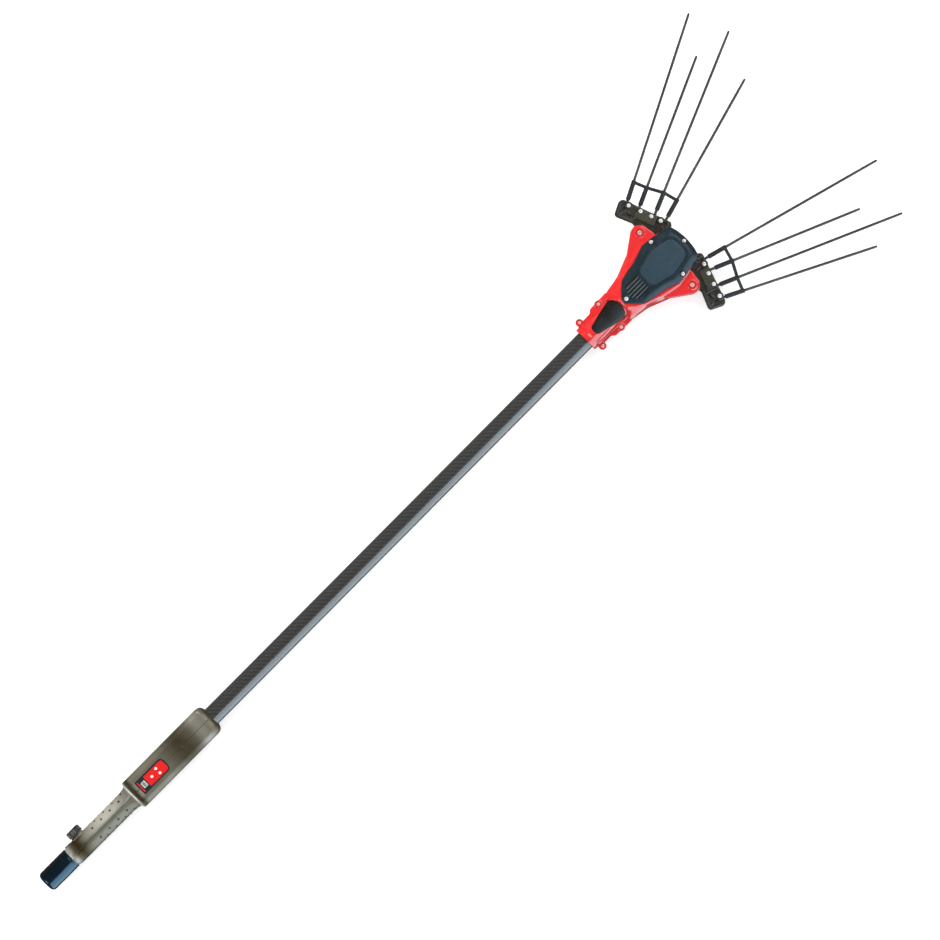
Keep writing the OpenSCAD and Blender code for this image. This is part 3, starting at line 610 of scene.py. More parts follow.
def camera():
    """Looks straight down, with the pole running up to the right."""
    lens, sensor, frame_width = 200, 36, 1.692
    centre = (cad_box[0] + cad_box[1]) / 2
    made = add_object("camera", bpy.data.cameras.new("camera"))
    made.data.lens = lens
    made.data.sensor_width = sensor
    made.data.clip_end = 60
    made.location = (centre[0] + 0.0795, centre[1] - 0.0305, frame_width * lens / sensor)
    made.rotation_euler = (0, 0, math.radians(-45.21))
    scene.camera = made


def area_light(name, place, target, size, watts, color, glossy=True, diffuse=True):
    light = bpy.data.lights.new(name, "AREA")
    light.shape = "RECTANGLE"
    light.size, light.size_y = size
    light.energy = watts
    light.color = color
    lamp = add_object(name, light)
    lamp.location = place
    aim = Vector(target) - Vector(place)
    lamp.rotation_euler = aim.to_track_quat("-Z", "Y").to_euler()
    lamp.visible_glossy = glossy
    lamp.visible_diffuse = diffuse
    lamp.visible_camera = False


def studio():
    camera()
    side = ((1.0, -2.2, 0.9), (1.0, 0, 0.9), (5.0, 4.2))
    area_light("softbox", *side, 260, (0.76, 0.9, 1.0), diffuse=False)
    area_light("softbox_spill", *side, 28, (0.9, 0.96, 1.0), glossy=False)
    area_light("end_card", (3.2, 0.1, 2.2), (0.9, 0, 0), (2.0, 1.4), 36, (1.0, 0.99, 0.95))
    area_light("butt_card", (-1.7, 0.2, 1.5), (0.3, 0, 0), (1.2, 1.2), 24, (0.9, 0.95, 1.0))
    area_light("ceiling", (1.0, 0.3, 3.2), (1.0, 0, 0), (4.5, 4.5), 66, (1.0, 0.99, 0.97), glossy=False)
    area_light("fill", (0.8, 2.3, 1.7), (0.8, 0, 0), (3.4, 1.2), 100, (1.0, 0.96, 0.88), glossy=False)
    world = bpy.data.worlds.new("studio")
    world.use_nodes = True
    sky = world.node_tree.nodes["Background"]
    sky.inputs["Color"].default_value = (1.0, 0.99, 0.96, 1)
    sky.inputs["Strength"].default_value = 0.16
    scene.world = world
    scene.view_settings.view_transform = "Standard"
    paper = Finish("paper", (0.6, 0.6, 0.6), 0.85)
    paper.clouds((0.57, 0.57, 0.57), 0.3, 4)
    paper.shader.inputs["Emission Color"].default_value = (1, 1, 1, 1)
    paper.shader.inputs["Emission Strength"].default_value = 0.62
    size, z = 20, REST_Z - 0.4
    ground = mesh_object("floor", [(x * 1000 * size, y * 1000 * size, z)
                                   for x, y in ((-1, -1), (1, -1), (1, 1), (-1, 1))], [(0, 1, 2, 3)])
    ground.data.materials.append(paper.material)
    ground.visible_glossy = False
    room = lathe("backdrop", [(20000, z - 5), (20000, 14000)], segments=96)
    room.data.materials.append(paper.material)
    room.visible_glossy = room.visible_diffuse = room.visible_shadow = False


studio()


# --- fasteners

def socket_head(name, radius, height, key):
    """A domed screw head on z = 0 with a hexagon socket."""
    profile = [(0, 0), (radius, 0), (radius, height * 0.45), (radius * 0.93, height * 0.72),
               (radius * 0.74, height * 0.93), (radius * 0.5, height), (0, height)]
    head = lathe(name, profile, segments=40, sharp=50)
    cut(head, lathe("bit", [(key, height * 0.42), (key, height + 1)], segments=6))
    return soften(head, 40)


def placed(pattern, centre, down=(0, 0, -1), spin=0.0):
    """A copy of a fastener with its foot at centre, pointing down."""
    copy = add_object(pattern.name, pattern.data.copy())
    turn = Vector([0 - part for part in down]).to_track_quat("Z", "Y").to_matrix().to_4x4()
    copy.data.transform(Matrix.Translation(Vector(centre) * MM) @ turn @ Matrix.Rotation(spin, 4, "Z"))
    return copy


def copies(pattern, places):
    """One object of a pattern repeated at places, each with the way that it points."""
    made = join(pattern.name, [placed(pattern, at, -np.array(out)) for at, out in places])
    bpy.data.objects.remove(pattern)
    return made


def at_height(places, z):
    return [(at[0], at[1], z) for at in places]


def fasteners(name, pattern, places, node, look="steel", down=(0, 0, -1), body=TOOL):
    """The heads and shanks that stand for a node of screws."""
    rng = np.random.default_rng(len(name))
    heads = [placed(pattern, at, down, rng.uniform(0, 2)) for at in places]
    shanks = copies(rod_tool((0, 0, 0), 1.9, -3, 1), [(at, -np.array(down)) for at in places])
    bpy.data.objects.remove(pattern)
    return finish(join(name, [*heads, shanks]), look, "steel", node, body=body)


# --- pole and butt cap

def pole():
    lo, hi = corners("pole_tube")
    wall = 1.5
    profile = rectangle(POLE_R - wall, lo[0], POLE_R, hi[0], 0.3).tolist()
    tube = lathe("carbon_pole", profile + profile[:1], axis="X", segments=160)
    finish(tube, "weave", "carbon", "pole_tube")


def butt_cap():
    hi = corners("butt_cap")[1]
    r = hi[2]
    end = 13.2
    profile = [(0, 0.6), (8.2, 0.6), (9.2, 0), (end, 0)]
    for a in np.linspace(0, math.pi / 2, 14)[1:]:
        profile.append((end + (r - end) * math.sin(a), 7.5 * (1 - math.cos(a))))
    profile += [(r, hi[0] - 5), (r - 0.5, hi[0] - 4.4), (r - 0.5, hi[0] - 3.6), (r, hi[0] - 3),
                (r, hi[0] - 0.8), (r - 0.8, hi[0]), (BORE_R, hi[0]), (BORE_R, 6), (0, 6)]
    cap = lathe("butt_cap_skin", profile, axis="X", segments=96, sharp=50)
    finish(cap, "navy", "butt_plastic", "butt_cap")


# --- handle

SHOULDER = KEYPAD_X - 19                    # where the grip's flare meets the control box
STUD_ROWS = (57, 31, 5, -21, -47, -73)      # angles round each half of the grip
STUD_FROM, STUD_PITCH, STUD_COUNT = GRIP_X + 64.6, 22.3, 4
# Rows of (x, millimetres) along the handle: how wide, how high and how round its section is.
GRIP = [(GRIP_X, 18.3), (GRIP_X + 4, 19.9), (GRIP_X + 9, 20.5), (SHOULDER - 18, 20.5)]
HALF_WIDTH = GRIP + [(SHOULDER - 8, 21.6), (SHOULDER - 0.8, 23.6), (SHOULDER, 28), (SHOULDER + 1.4, 29.5),
                     (SHOULDER + 4, 30), (BOX_END - 13, 30), (BOX_END - 8, 29.2), (BOX_END - 4, 26.8),
                     (BOX_END - 1, 22.6), (BOX_END, 18.6)]
TOP = GRIP + [(SHOULDER - 8, 22.2), (SHOULDER - 0.8, 23.6), (SHOULDER, 27.6), (SHOULDER + 1.4, 29),
              (SHOULDER + 4, 29.6), (KEYPAD_X + 1, 29.8), (KEYPAD_X + 70, 30), (BOX_END - 42, 29.9),
              (BOX_END - 15, 28), (BOX_END - 9, 26), (BOX_END - 4, 22.6), (BOX_END, 18.4)]
BOTTOM = sorted(HALF_WIDTH + [(BOX_END - 14, 29.8)])
CORNER = GRIP + [(SHOULDER, 20), (SHOULDER + 4, 15), (KEYPAD_X, 13), (BOX_END - 20, 14), (BOX_END, 17)]
SCOOP_DEPTH = [(SHOULDER + 4.4, 0), (SHOULDER + 6, 5), (SHOULDER + 9, 5.6), (SHOULDER + 13, 3.6),
               (KEYPAD_X, 1.3), (KEYPAD_X + 9, 0)]
SCOOP_WIDTH = [(SHOULDER + 5, 20.5), (SHOULDER + 10, 20), (KEYPAD_X + 9, 15)]


def edge_distance(angle, half_w, half_h, corner):
    """How far the edge of a rounded rectangle is from its centre, at each angle."""
    c, s = np.abs(np.cos(angle)) + 1e-9, np.abs(np.sin(angle)) + 1e-9
    corner = min(corner, half_w - 0.01, half_h - 0.01)
    side, top = half_w / c, half_h / s
    cx, cy = half_w - corner, half_h - corner
    along = c * cx + s * cy
    round_part = along + np.sqrt(np.maximum(along ** 2 - cx ** 2 - cy ** 2 + corner ** 2, 0))
    return np.where(side * s <= cy, side, np.where(top * c <= cx, top, round_part))


def handle_stations():
    spans = [(GRIP_X, GRIP_X + 12, 0.8), (GRIP_X + 12, STUD_FROM - 6, 2.5),
             (STUD_FROM - 6, SHOULDER - 18, 2.5), (SHOULDER - 18, KEYPAD_X + 2, 0.7),
             (KEYPAD_X + 2, BOX_END - 22, 4), (BOX_END - 22, BOX_END, 0.8)]
    stops = [np.linspace(a, b, max(2, round((b - a) / step)), endpoint=False) for a, b, step in spans]
    return np.append(np.concatenate(stops), BOX_END)


def handle_outer(x, angles):
    """The handle's section at x: a distance for each angle from +Y round to +Z."""
    soft = 0.9
    width = table_curve(HALF_WIDTH, x, soft)
    above, below = table_curve(TOP, x, soft), table_curve(BOTTOM, x, soft)
    corner = table_curve(CORNER, x, soft)
    out = np.where(angles > 0, edge_distance(angles, width, above, corner),
                   edge_distance(angles, width, below, corner))
    grip = np.interp(x, [STUD_FROM - 14, STUD_FROM - 8, SHOULDER - 1, SHOULDER], [0, 1, 1, 0])
    flare = np.interp(x, [SHOULDER - 20, SHOULDER - 3], [0, 1])
    across = np.cos(angles) * out
    groove = np.where(angles > 0, grip, 0) * (1.5 + 2.0 * flare)
    out = out - groove / (1 + np.exp((across - 1.5 - 3.4 * flare) / (0.35 + 0.9 * flare)))
    depth, reach = table_curve(SCOOP_DEPTH, x, 0.5), table_curve(SCOOP_WIDTH, x)
    above = np.maximum(np.sin(angles), 0)
    out = out - above * depth / (1 + np.exp((across - reach) / 0.55))
    return np.maximum(out - 1.2 * np.clip(1.6 - across / 0.6, 0, 1), POLE_R + 0.7)


def handle_inner(x, angles, outer):
    """The hollow inside: the pole's bore in the grip, and the room of the box."""
    box = SHOULDER + 5 < x < BOX_END - 4
    return outer - 2.6 if box else np.full_like(angles, POLE_R + 0.12)


def handle_half(name):
    """One shell of the handle, from the seam line below round to the seam line above."""
    xs = handle_stations()
    seam = np.array([88, 88.6, 89.2, 90])
    angles = np.radians(np.concatenate([-seam[::-1], np.linspace(-87, 87, 125), seam]))
    outer, inner = [], []
    for x in xs:
        far = handle_outer(x, angles)
        near = handle_inner(x, angles, far)
        for store, r in ((outer, far), (inner, near)):
            store.append(np.column_stack([np.full_like(r, x), np.maximum(r * np.cos(angles), 0) + SEAM,
                                          r * np.sin(angles)]))
    count, rows = len(angles), len(xs)
    points = np.concatenate(outer + inner)
    faces = band_faces(rows, count, closed=False)
    shift = rows * count
    faces += [tuple(i + shift for i in f[::-1]) for f in faces]
    seams = [(i * count + j, (i + 1) * count + j) for j in (0, count - 1) for i in range(rows - 1)]
    ends = [(i * count + j, i * count + j + 1) for i in (0, rows - 1) for j in range(count - 1)]
    faces += [(a, b, b + shift, a + shift) for a, b in seams + ends]
    return mesh_object(name, points, faces, 40)


def keypad_outline(grow=0.0):
    """The keypad's outline: square towards the grip, round towards the head."""
    half = KEYPAD_HI[1] + grow
    radii = [3.4 + grow, 9 + grow, 9 + grow, 3.4 + grow]
    return rectangle(KEYPAD_X - grow, -half, KEYPAD_HI[0] + grow, half, radii, 8)


def grip_studs(side):
    """Where the studs of one half of the grip stand, and which way each one points."""
    found = []
    for row, degrees in enumerate(STUD_ROWS):
        angle = math.radians(degrees)
        out = np.array([0, side * math.cos(angle), math.sin(angle)])
        for i in range(STUD_COUNT):
            x = STUD_FROM + (i + row % 2 / 2) * STUD_PITCH
            found.append((out * handle_outer(x, np.array([angle]))[0] + [x, 0, 0], out))
    return found


def handle_screw_places():
    """Where the screws sit on the flat side, and where they are drawn in at the box's round end."""
    places = [middle(p) * [1, 0, 1] for p in islands("handle_screws")]
    flat = [at for at in places if at[0] < BOX_END - 12]
    curved = [at * [1, 1, 0.8] - [3, 0, 0] for at in places if at[0] >= BOX_END - 12]
    return flat, curved


def handle():
    left = handle_half("shell_left")
    right = flip(handle_half("shell_right"), "Y")
    boss = [(9.6, 12), (15.8, 17), (15.4, 19.8), (13.4, 20.9), (12.7, 21.8), (12.5, 23.0), (12.1, 23.3),
            (9.6, 23.3)]
    cut(left, lathe("boss", boss, (INLET[0], 0, 0), "Y", 72), operation="UNION")
    cut(left, rod_tool((INLET[0], 0, 0), 9.6, 0, 40, "Y"))
    cut(left, rod_tool((0, 0, 0), BORE_R, GRIP_X - 5, SHOULDER, "X", 96))
    lo, hi = corners("cap_clip")
    cut(left, box_tool(lo - 0.2, hi + [0.2, 2, 0.2]))
    flat, curved = ([(at, (0, 1.0, 0)) for at in places] for places in handle_screw_places())
    pillars = [copies(lathe("pillar", [(0, 18), (4.1, 18), (4.1, top), (0, top)], segments=32), places)
               for places, top in ((flat, 25.3), (curved, 21.0))]
    cut(left, *pillars, operation="UNION")
    recess = lathe("recess", [(0, 20), (3.35, 20), (3.35, 25.4), (4.4, 34), (0, 34)], segments=32)
    cut(left, copies(recess, flat + curved))
    studs = []
    for shell, side in ((left, 1), (right, -1)):
        cut(shell, plate("opening", keypad_outline(0.25), 24.2, 40, 0.2))
        moat = lathe("moat", [(0, -1.1), (2.2, -1.1), (2.9, 1.2), (0, 1.2)], segments=24)
        cut(shell, copies(moat, grip_studs(side)))
        soften(shell, 40)
        dome = [(0, -1.6), (1.6, -1.6), (1.6, -0.2), (1.35, 0.35), (0.8, 0.65), (0, 0.75)]
        studs.append(copies(lathe("dome", dome, segments=24), grip_studs(side)))
    # The studs are black: painted shade for the dark dots that the raised studs show.
    finish(join("grip_studs", studs), "black", "black_plastic")
    finish(left, "gunmetal", "handle_plastic", "handle_shell_left")
    finish(right, "gunmetal", "handle_plastic", "handle_shell_right")
    fasteners("handle_screw_heads", socket_head("screw", 2.95, 2.2, 1.35),
              [at + [0, 20.3, 0] for at, _ in flat + curved], "handle_screws", down=(0, -1, 0))


# --- keypad

def trim(name, outline, profile):
    """A solid strip along an outline, through a closed profile of (distance inwards, height)."""
    outline = resample(outline, 0.8)
    rings = [lift(inset(outline, d), z) for d, z in profile]
    return mesh_object(name, np.concatenate(rings), band_faces(len(rings), len(outline), wrap=True), 50)


def keypad():
    top = KEYPAD_HI[2]
    outline = keypad_outline()
    rim = trim("keypad_rim", outline, rounded([(0, 26.8), (0, top + 0.6), (2.6, top + 0.6),
                                               (2.6, 28.4), (3.2, 26.8)], [0, 0.6, 0.35, 0, 0]))
    floor = plate("keypad_bed", resample(inset(outline, 2.4), 1.2), 27.2, 29.0, 0.2)
    bed = join("keypad_bezel", [rim, floor])
    finish(soften(bed, 40), "black", "black_plastic", "keypad_frame")

    lens_lo, lens_hi = corners("display_lens")
    film = divide(plate("label_film", resample(inset(outline, 2.65), 0.8), 29.1, top - 0.05, 0.25), 2.9)
    cut(film, box_tool((lens_lo[0] - 0.1, -20, 20), (lens_hi[0] + 0.1, 20, 40)))
    buttons = {node: corners(node) for node in ("button_power", "button_plus", "button_minus")}
    for lo, hi in buttons.values():
        at = foot(middle(np.array([lo, hi])))
        ring = rounded([(2.7, 29.4), (4.1, 29.4), (3.7, top + 0.3), (2.7, top + 0.3)], 0.25)
        cut(film, lathe("ring", ring.tolist(), at), operation="UNION")
        cut(film, rod_tool(at, 2.75, 20, 40))
    soften(film, 12)
    for polygon in film.data.polygons:
        polygon.use_smooth = abs(polygon.normal[2]) < 0.99
    finish(film, "label", "label_red", "keypad_label")

    window = rectangle(lens_lo[0] + 2.2, -6, lens_hi[0] - 2.2, 6, 0.8)
    lens = rectangle(lens_lo[0], -10.85, lens_hi[0], 10.85, 0.5)
    glass = plate("display_glass", lens, 29.0, top + 0.2, 0.3)
    cut(glass, plate("window", window, top - 0.15, 40, 0.1))
    finish(soften(glass, 35), "lens", "lens", "display_lens")
    face = plate("display_face", inset(window, 0.15), top - 0.3, top - 0.02, 0.08)
    finish(face, "digits", "display_grey", "display_module")
    mid = (lens_lo[0] + lens_hi[0]) / 2
    cells = [(2.6, -4.1 + i * 2.2, 1.3, 0.25) for i in range(4)] + [(1, 4.7, 0.5, 0.1)]
    bars = [plate("bar", rectangle(mid - half, y, mid + half, y + tall, radius), top - 0.2, top + 0.06, 0.05)
            for half, y, tall, radius in cells]
    finish(join("charge_bars", bars), "lens", "lens")

    r = 2.55
    for node, (lo, hi) in buttons.items():
        profile = [(0, lo[2]), (2.8, lo[2]), (2.8, lo[2] + 1), (r, lo[2] + 1), (r, hi[2] - 0.5),
                   (r - 0.2, hi[2] - 0.15), (r - 0.6, hi[2]), (r - 1.1, hi[2] - 0.08), (0, hi[2] - 0.2)]
        at = foot(middle(np.array([lo, hi])))
        cap = lathe(node + "_cap", profile, at, segments=40, sharp=50)
        finish(cap, "glyph", "button_white", node, body=node.replace("button_", "") + "_button")


# --- power inlet

def inlet():
    lo, hi = corners("inlet_cap")
    y0, y1 = lo[1], hi[1]
    r = (hi[0] - lo[0]) / 2
    ribs = 22

    def knurl(angle, radius, height):
        plain = radius < r - 1.2 or height < y0 + 1 or height > y1 - 0.6
        return radius if plain else radius - 1.3 * (0.5 - 0.5 * math.cos(ribs * angle))

    profile = [(9.8, y0), (r - 0.7, y0), (r, y0 + 0.6), (r, y0 + 1.6), (r - 0.1, y0 + 2.2)]
    profile += [(r - 0.1, y) for y in np.linspace(y0 + 2.6, y1 - 3.4, 5)]
    for a in np.linspace(0, math.pi / 2, 9):
        profile.append((r - 3.1 + 3.0 * math.cos(a), y1 - 3.1 + 3.1 * math.sin(a)))
    profile += [(r - 4.4, y1), (r - 5.2, y1 - 0.7), (4, y1 - 0.9), (2.4, y1 - 0.9), (1.1, y1 - 0.9),
                (0, y1 - 0.9), (0, y1 - 2.2), (9.8, y1 - 2.2), (9.8, y0)]
    cap = lathe("knurled_cap", profile, (INLET[0], 0, INLET[2]), "Y", ribs * 10, knurl, 45)
    finish(cap, "knurl", "black_plastic", "inlet_cap", body="inlet_cap")


# --- head

def in_head(points):
    return np.array(points, float) + [HEAD_X, 0]


def polar(outline, x, angles):
    """The distance from (x, 0) to a star-shaped outline at each angle."""
    dense = resample(outline, 0.5) - [x, 0]
    a = np.arctan2(dense[:, 1], dense[:, 0])
    order = np.argsort(a)
    a, r = a[order], np.hypot(dense[:, 0], dense[:, 1])[order]
    a = np.concatenate([a - 2 * math.pi, a, a + 2 * math.pi])
    return np.interp(angles, a, np.concatenate([r, r, r]))


def polar_ring(x, r, angles, z):
    """A ring round a place on the head's centre line, through a distance for each angle."""
    return np.column_stack([HEAD_X + x + r * np.cos(angles), r * np.sin(angles), np.full_like(r, z)])


def dished(ring, edge, z):
    """Closes a top with rings of edge shrinking to the middle, rising to a shallow crown."""
    for shrink in (0.8, 0.6, 0.4, 0.2, 0.05):
        ring(edge * shrink, z + 0.5 * (1 - shrink ** 2))


FOOT = [(80, 30), (90, 35), (98, 35.8), (120, 39.6), (156, 54), (176, 60), (222, 45), (245, 35),
        (252, 22)]
BROW = [(92, 12), (106, 24), (120, 32), (156, 44), (190, 51), (222, 44.5), (245, 36), (252, 21)]
ROOM = [(124, 17), (138, 26), (156, 40), (176, 46), (218, 36), (240, 29), (247, 17)]
FLANGE = [(3, 24), (20, 27.5), (38, 28), (44, 33.5), (84, 34.5), (92, 30)]
EAR = [(150, 44), (160, 55), (196, 80.5), (207.5, 82), (217.6, 72), (222.5, 43), (186, 38)]
COVER = [(95.2, 4), (106, 16.2), (120.4, 28.8), (138.4, 33.3), (156.4, 36), (174.4, 41.4),
         (188.8, 46.8), (206.8, 45.9), (223, 43.2), (246.4, 36.9), (250, 34.2), (253.6, 21.6),
         (255.4, 6)]
PANEL = [(147.4, 17), (156.4, 23.4), (192.4, 32.4), (210.4, 30.6), (233.8, 24.3), (241, 17),
         (242.8, 6)]
PAD = [(19.6, 5), (22.6, 9.6), (39.4, 13.5), (48.4, 16.2), (66.4, 19.8), (78, 21.4), (85.2, 15.6),
       (89, 6)]
VENTS, RIBS, VENT_END = (-15.2, -9.1, -3, 3, 9.1, 15.2), (-12.2, -6.1, 0, 6.1, 12.2), 146
LUGS = [(13.5, 29.5), (61, 29)]
RAILS = [((10, 16.6, 15.4), (44, 16.6, 15.4)), ((10, 21, 9), (92, 24.5, 8)), ((92, 24.5, 9), (156, 45, 19))]
NECK_R = 22.5


def head_blank(name):
    """The upper half of the red casting, before anything is cut out of it."""
    centre = 168
    angles = np.linspace(-math.pi, math.pi, 150, endpoint=False)
    foot = polar(rounded(mirrored(FOOT), 10), centre, angles)
    brow = polar(rounded(mirrored(BROW), 8), centre, angles)
    rings = []
    for mix, z, pull in ((0, -2, 0), (0, 4, 0), (0.04, 8, 0), (0.3, 14, 0), (0.72, 20, 0),
                         (0.9, 23, 0.3), (0.97, 24.4, 1.2), (1, 25, 2.8)):
        rings.append(polar_ring(centre, (1 - mix) * foot + mix * brow - pull, angles, z))
    barrel = [(0, 0), (NECK_R - 0.8, 0), (NECK_R, 0.8), (NECK_R, 128), (0, 128)]
    collar = [(15, 0), (23.2, 0), (23.8, 0.7), (23.8, 8), (22, 12), (15, 12)]
    parts = [loft("body", rings), lathe("barrel", barrel, (HEAD_X, 0, 0), "X", 96),
             lathe("collar", collar, (HEAD_X, 0, 0), "X", 96),
             plate("flange", rounded(in_head(mirrored(FLANGE)), 3), -2, 5, 0.6)]
    for side in (1, -1):
        parts.append(plate("ear", rounded(in_head(np.array(EAR) * [1, side]), 7), 10.5, 22, 1.6))
        parts.append(lathe("boss", [(0, 20), (9.4, 20), (8.9, 23.4), (8.2, 24), (0, 24)],
                           (HEAD_X + PIVOT[0], side * PIVOT[1], 0)))
        for start, end in RAILS:
            parts.append(capsule(*([HEAD_X + x, side * y, z] for x, y, z in (start, end)), 1.5))
        for x, y in LUGS:
            parts.append(lathe("lug", [(0, -2), (7.3, -2), (6.9, 8.2), (6.3, 9), (0, 9)],
                               (HEAD_X + x, side * y, 0)))
    blank = melt(join(name, parts), 0.8, 4)
    points = np.empty(len(blank.data.vertices) * 3)
    blank.data.vertices.foreach_get("co", points)
    points = points.reshape(-1, 3) / MM
    for x0, x1, radius in ((1.4, 7.4, 23.8), (13, 92, NECK_R)):
        away = np.hypot(points[:, 1], points[:, 2])
        near = (points[:, 0] > HEAD_X + x0) & (points[:, 0] < HEAD_X + x1) & (abs(away - radius) < 0.45)
        points[near, 1:] *= (radius / away[near])[:, None]
    blank.data.vertices.foreach_set("co", (points * MM).ravel())
    blank.data.update()
    return cut(blank, box_tool((HEAD_X - 5, -100, -10), (HEAD_X + 270, 100, SEAM)))


def hollow(shell):
    """Cuts the bores, the room for the drive and the slots for the arms out of a half casting."""
    x = HEAD_X
    cut(shell, rod_tool((x, 0, 0), BORE_R, -3, 64, "X", 96))
    cut(shell, rod_tool((x, 0, 0), 19.1, 62, 132, "X", 96))
    cut(shell, plate("room", in_head(mirrored(ROOM)), -1, 21, 0.5))
    for side in (1, -1):
        y = sorted((side * 26, side * 110))
        cut(shell, box_tool((x + 176, y[0], -1), (x + 280, y[1], 10.55)))
        y = sorted((side * 20, side * 45.3))
        cut(shell, box_tool((x + 193, y[0], -1), (x + 215, y[1], 17.5)))
        at = (x + PIVOT[0], side * PIVOT[1], 0)
        cut(shell, lathe("bore", [(5.06, 0), (5.06, 20.4), (6.9, 20.4), (7.5, 30)], at))
        for lx, ly in LUGS:
            cut(shell, lathe("bore", [(2, -1), (2, 6.6), (4.6, 6.6), (5.2, 12)], (x + lx, side * ly, 0)))
    return shell


def collar_ring():
    """The upper half of the turned ring that the pole enters, and of the neck's round skin."""
    r = POLE_R + 0.12
    profile = [(r, 0.9), (r, -0.2), (r + 0.3, -0.5), (23.3, -0.5), (23.8, -0.2), (24.0, 0.3), (24.0, 7.8),
               (22.9, 10.6), (NECK_R + 0.02, 12.4), (NECK_R + 0.02, 88), (20.8, 88), (20.8, 0.9)]
    ring = lathe("ring", profile + profile[:1], (HEAD_X, 0, 0), "X", 120)
    return cut(ring, box_tool((HEAD_X - 5, -100, -40), (HEAD_X + 140, 100, SEAM)))


def head_shells():
    upper = hollow(head_blank("casting_upper"))
    lower = flip(hollow(head_blank("casting_lower")), "Z")
    cut(upper, plate("seat", inset(resample(rounded(in_head(mirrored(COVER)), 3), 2), -0.35), 24, 40, 0.2))
    opening = in_head([(x * 0.86 + 26, y * 0.8) for x, y in mirrored(ROOM)])
    cut(upper, plate("opening", opening, 16, 26, 0.2))
    upper = join("casting_upper", [upper, collar_ring()])
    lower = join("casting_lower", [lower, flip(collar_ring(), "Z")])
    for shell, node in ((upper, "head_shell_upper"), (lower, "head_shell_lower")):
        finish(soften(shell, 32), "red", "shell_red", node)


def head_cover():
    """The slate cover: a sloping skirt, a raised panel topped by a lighter slate sheet as painted light, and
    ribs in a vent, painted lighter as painted highlight, over dark strips of painted shade.
    """
    centre = 185
    angles = np.linspace(-math.pi, math.pi, 300, endpoint=False)
    edge = polar(rounded(mirrored(COVER), 4), centre, angles)
    panel = polar(rounded(mirrored(PANEL), 9), centre, angles)
    brink, top = edge - 1.1, corners("head_cover")[1][2]
    rings = []

    def ring(r, z):
        rings.append(polar_ring(centre, r, angles, z))

    def slope(t):
        """The height of the skirt, from t = 0 at its brink to 1 at the panel."""
        return 28.1 + (top - 28.2) * (1 - (1 - t) ** 1.8)

    for pull, z in ((0.3, 24.1), (0, 24.4), (0, 26.8), (0.15, 27.4), (0.5, 27.85), (1.1, 28.1)):
        ring(edge - pull, z)
    for t in np.linspace(0.04, 1, 14):
        ring((1 - t) * brink + t * panel, slope(t))
    for pull, drop in ((1.0, 0), (1.9, 0.1), (2.3, 0.5), (2.7, 1.3), (3.3, 1.7), (4.2, 1.75)):
        ring(panel - pull, top - drop)
    dished(ring, panel - 4.2, top - 1.75)
    cover = loft("cover_shell", rings, sharp=50)

    spin = angles % (2 * math.pi)
    order = np.argsort(spin)

    def height(x, y):
        """How high the skirt is at a point between its brink and the panel."""
        angle = math.atan2(y, x - centre) % (2 * math.pi)
        low, high = (np.interp(angle, spin[order], r[order]) for r in (brink, panel))
        return slope(np.clip((low - math.hypot(x - centre, y)) / (low - high), 0, 1))

    turns = np.linspace(0, 2 * math.pi, 16, endpoint=False)

    def bar(name, y, wide, tall, drop):
        """A long bar with round ends that follows the skirt at y."""
        begin = 107 + 0.55 * abs(y)
        stops = ((0, 0.06), (0.015, 0.6), (0.05, 0.92), (0.25, 1), (0.5, 1), (0.75, 1), (0.95, 0.92),
                 (0.985, 0.6), (1, 0.06))
        sections = []
        for t, r in stops:
            x = begin + (VENT_END - begin) * t
            sections.append(np.column_stack([np.full_like(turns, HEAD_X + x), y + wide * r * np.cos(turns),
                                             height(x, y) - drop + tall * r * np.sin(turns)]))
        return loft(name, sections)

    # Dark rubber strips in the grooves: painted shade for the dark inside below the vent.
    shade_strips = []
    for y in VENTS:
        cut(cover, bar("groove", y, 2.0, 2.4, 0))
        shade_strips.append(bar("shade_strip", y, 1.96, 1.3, 1.7))
    finish(join("vent_shade_strips", shade_strips), "pad", "pad_rubber")
    # The ribs take the lighter slate: painted highlight.
    ribs = [bar("rib", y, 1.05, 1.5, 0.9) for y in RIBS]
    finish(join("vent_ribs", ribs), "rib", "cover_slate")
    # A lighter slate sheet over the panel: painted light.
    rings = []
    for pull, drop in ((5, 2.4), (4.4, 1.75), (4.6, 1.45), (5.2, 1.35)):
        ring(panel - pull, top - drop)
    dished(ring, panel - 5.2, top - 1.35)
    finish(loft("cover_panel_painted_light", rings, sharp=50), "lit_panel", "cover_slate")
    heads = [middle(p) for p in islands("cover_bolts")]
    for at in heads:
        cut(cover, lathe("seat", [(5.2, 27.2), (5.4, 30), (6.4, 38)], foot(at)))
    finish(soften(cover, 32), "slate", "cover_slate", "head_cover")
    fasteners("cover_bolt_heads", socket_head("bolt", 3.8, 3, 1.5), at_height(heads, 27.4), "cover_bolts")


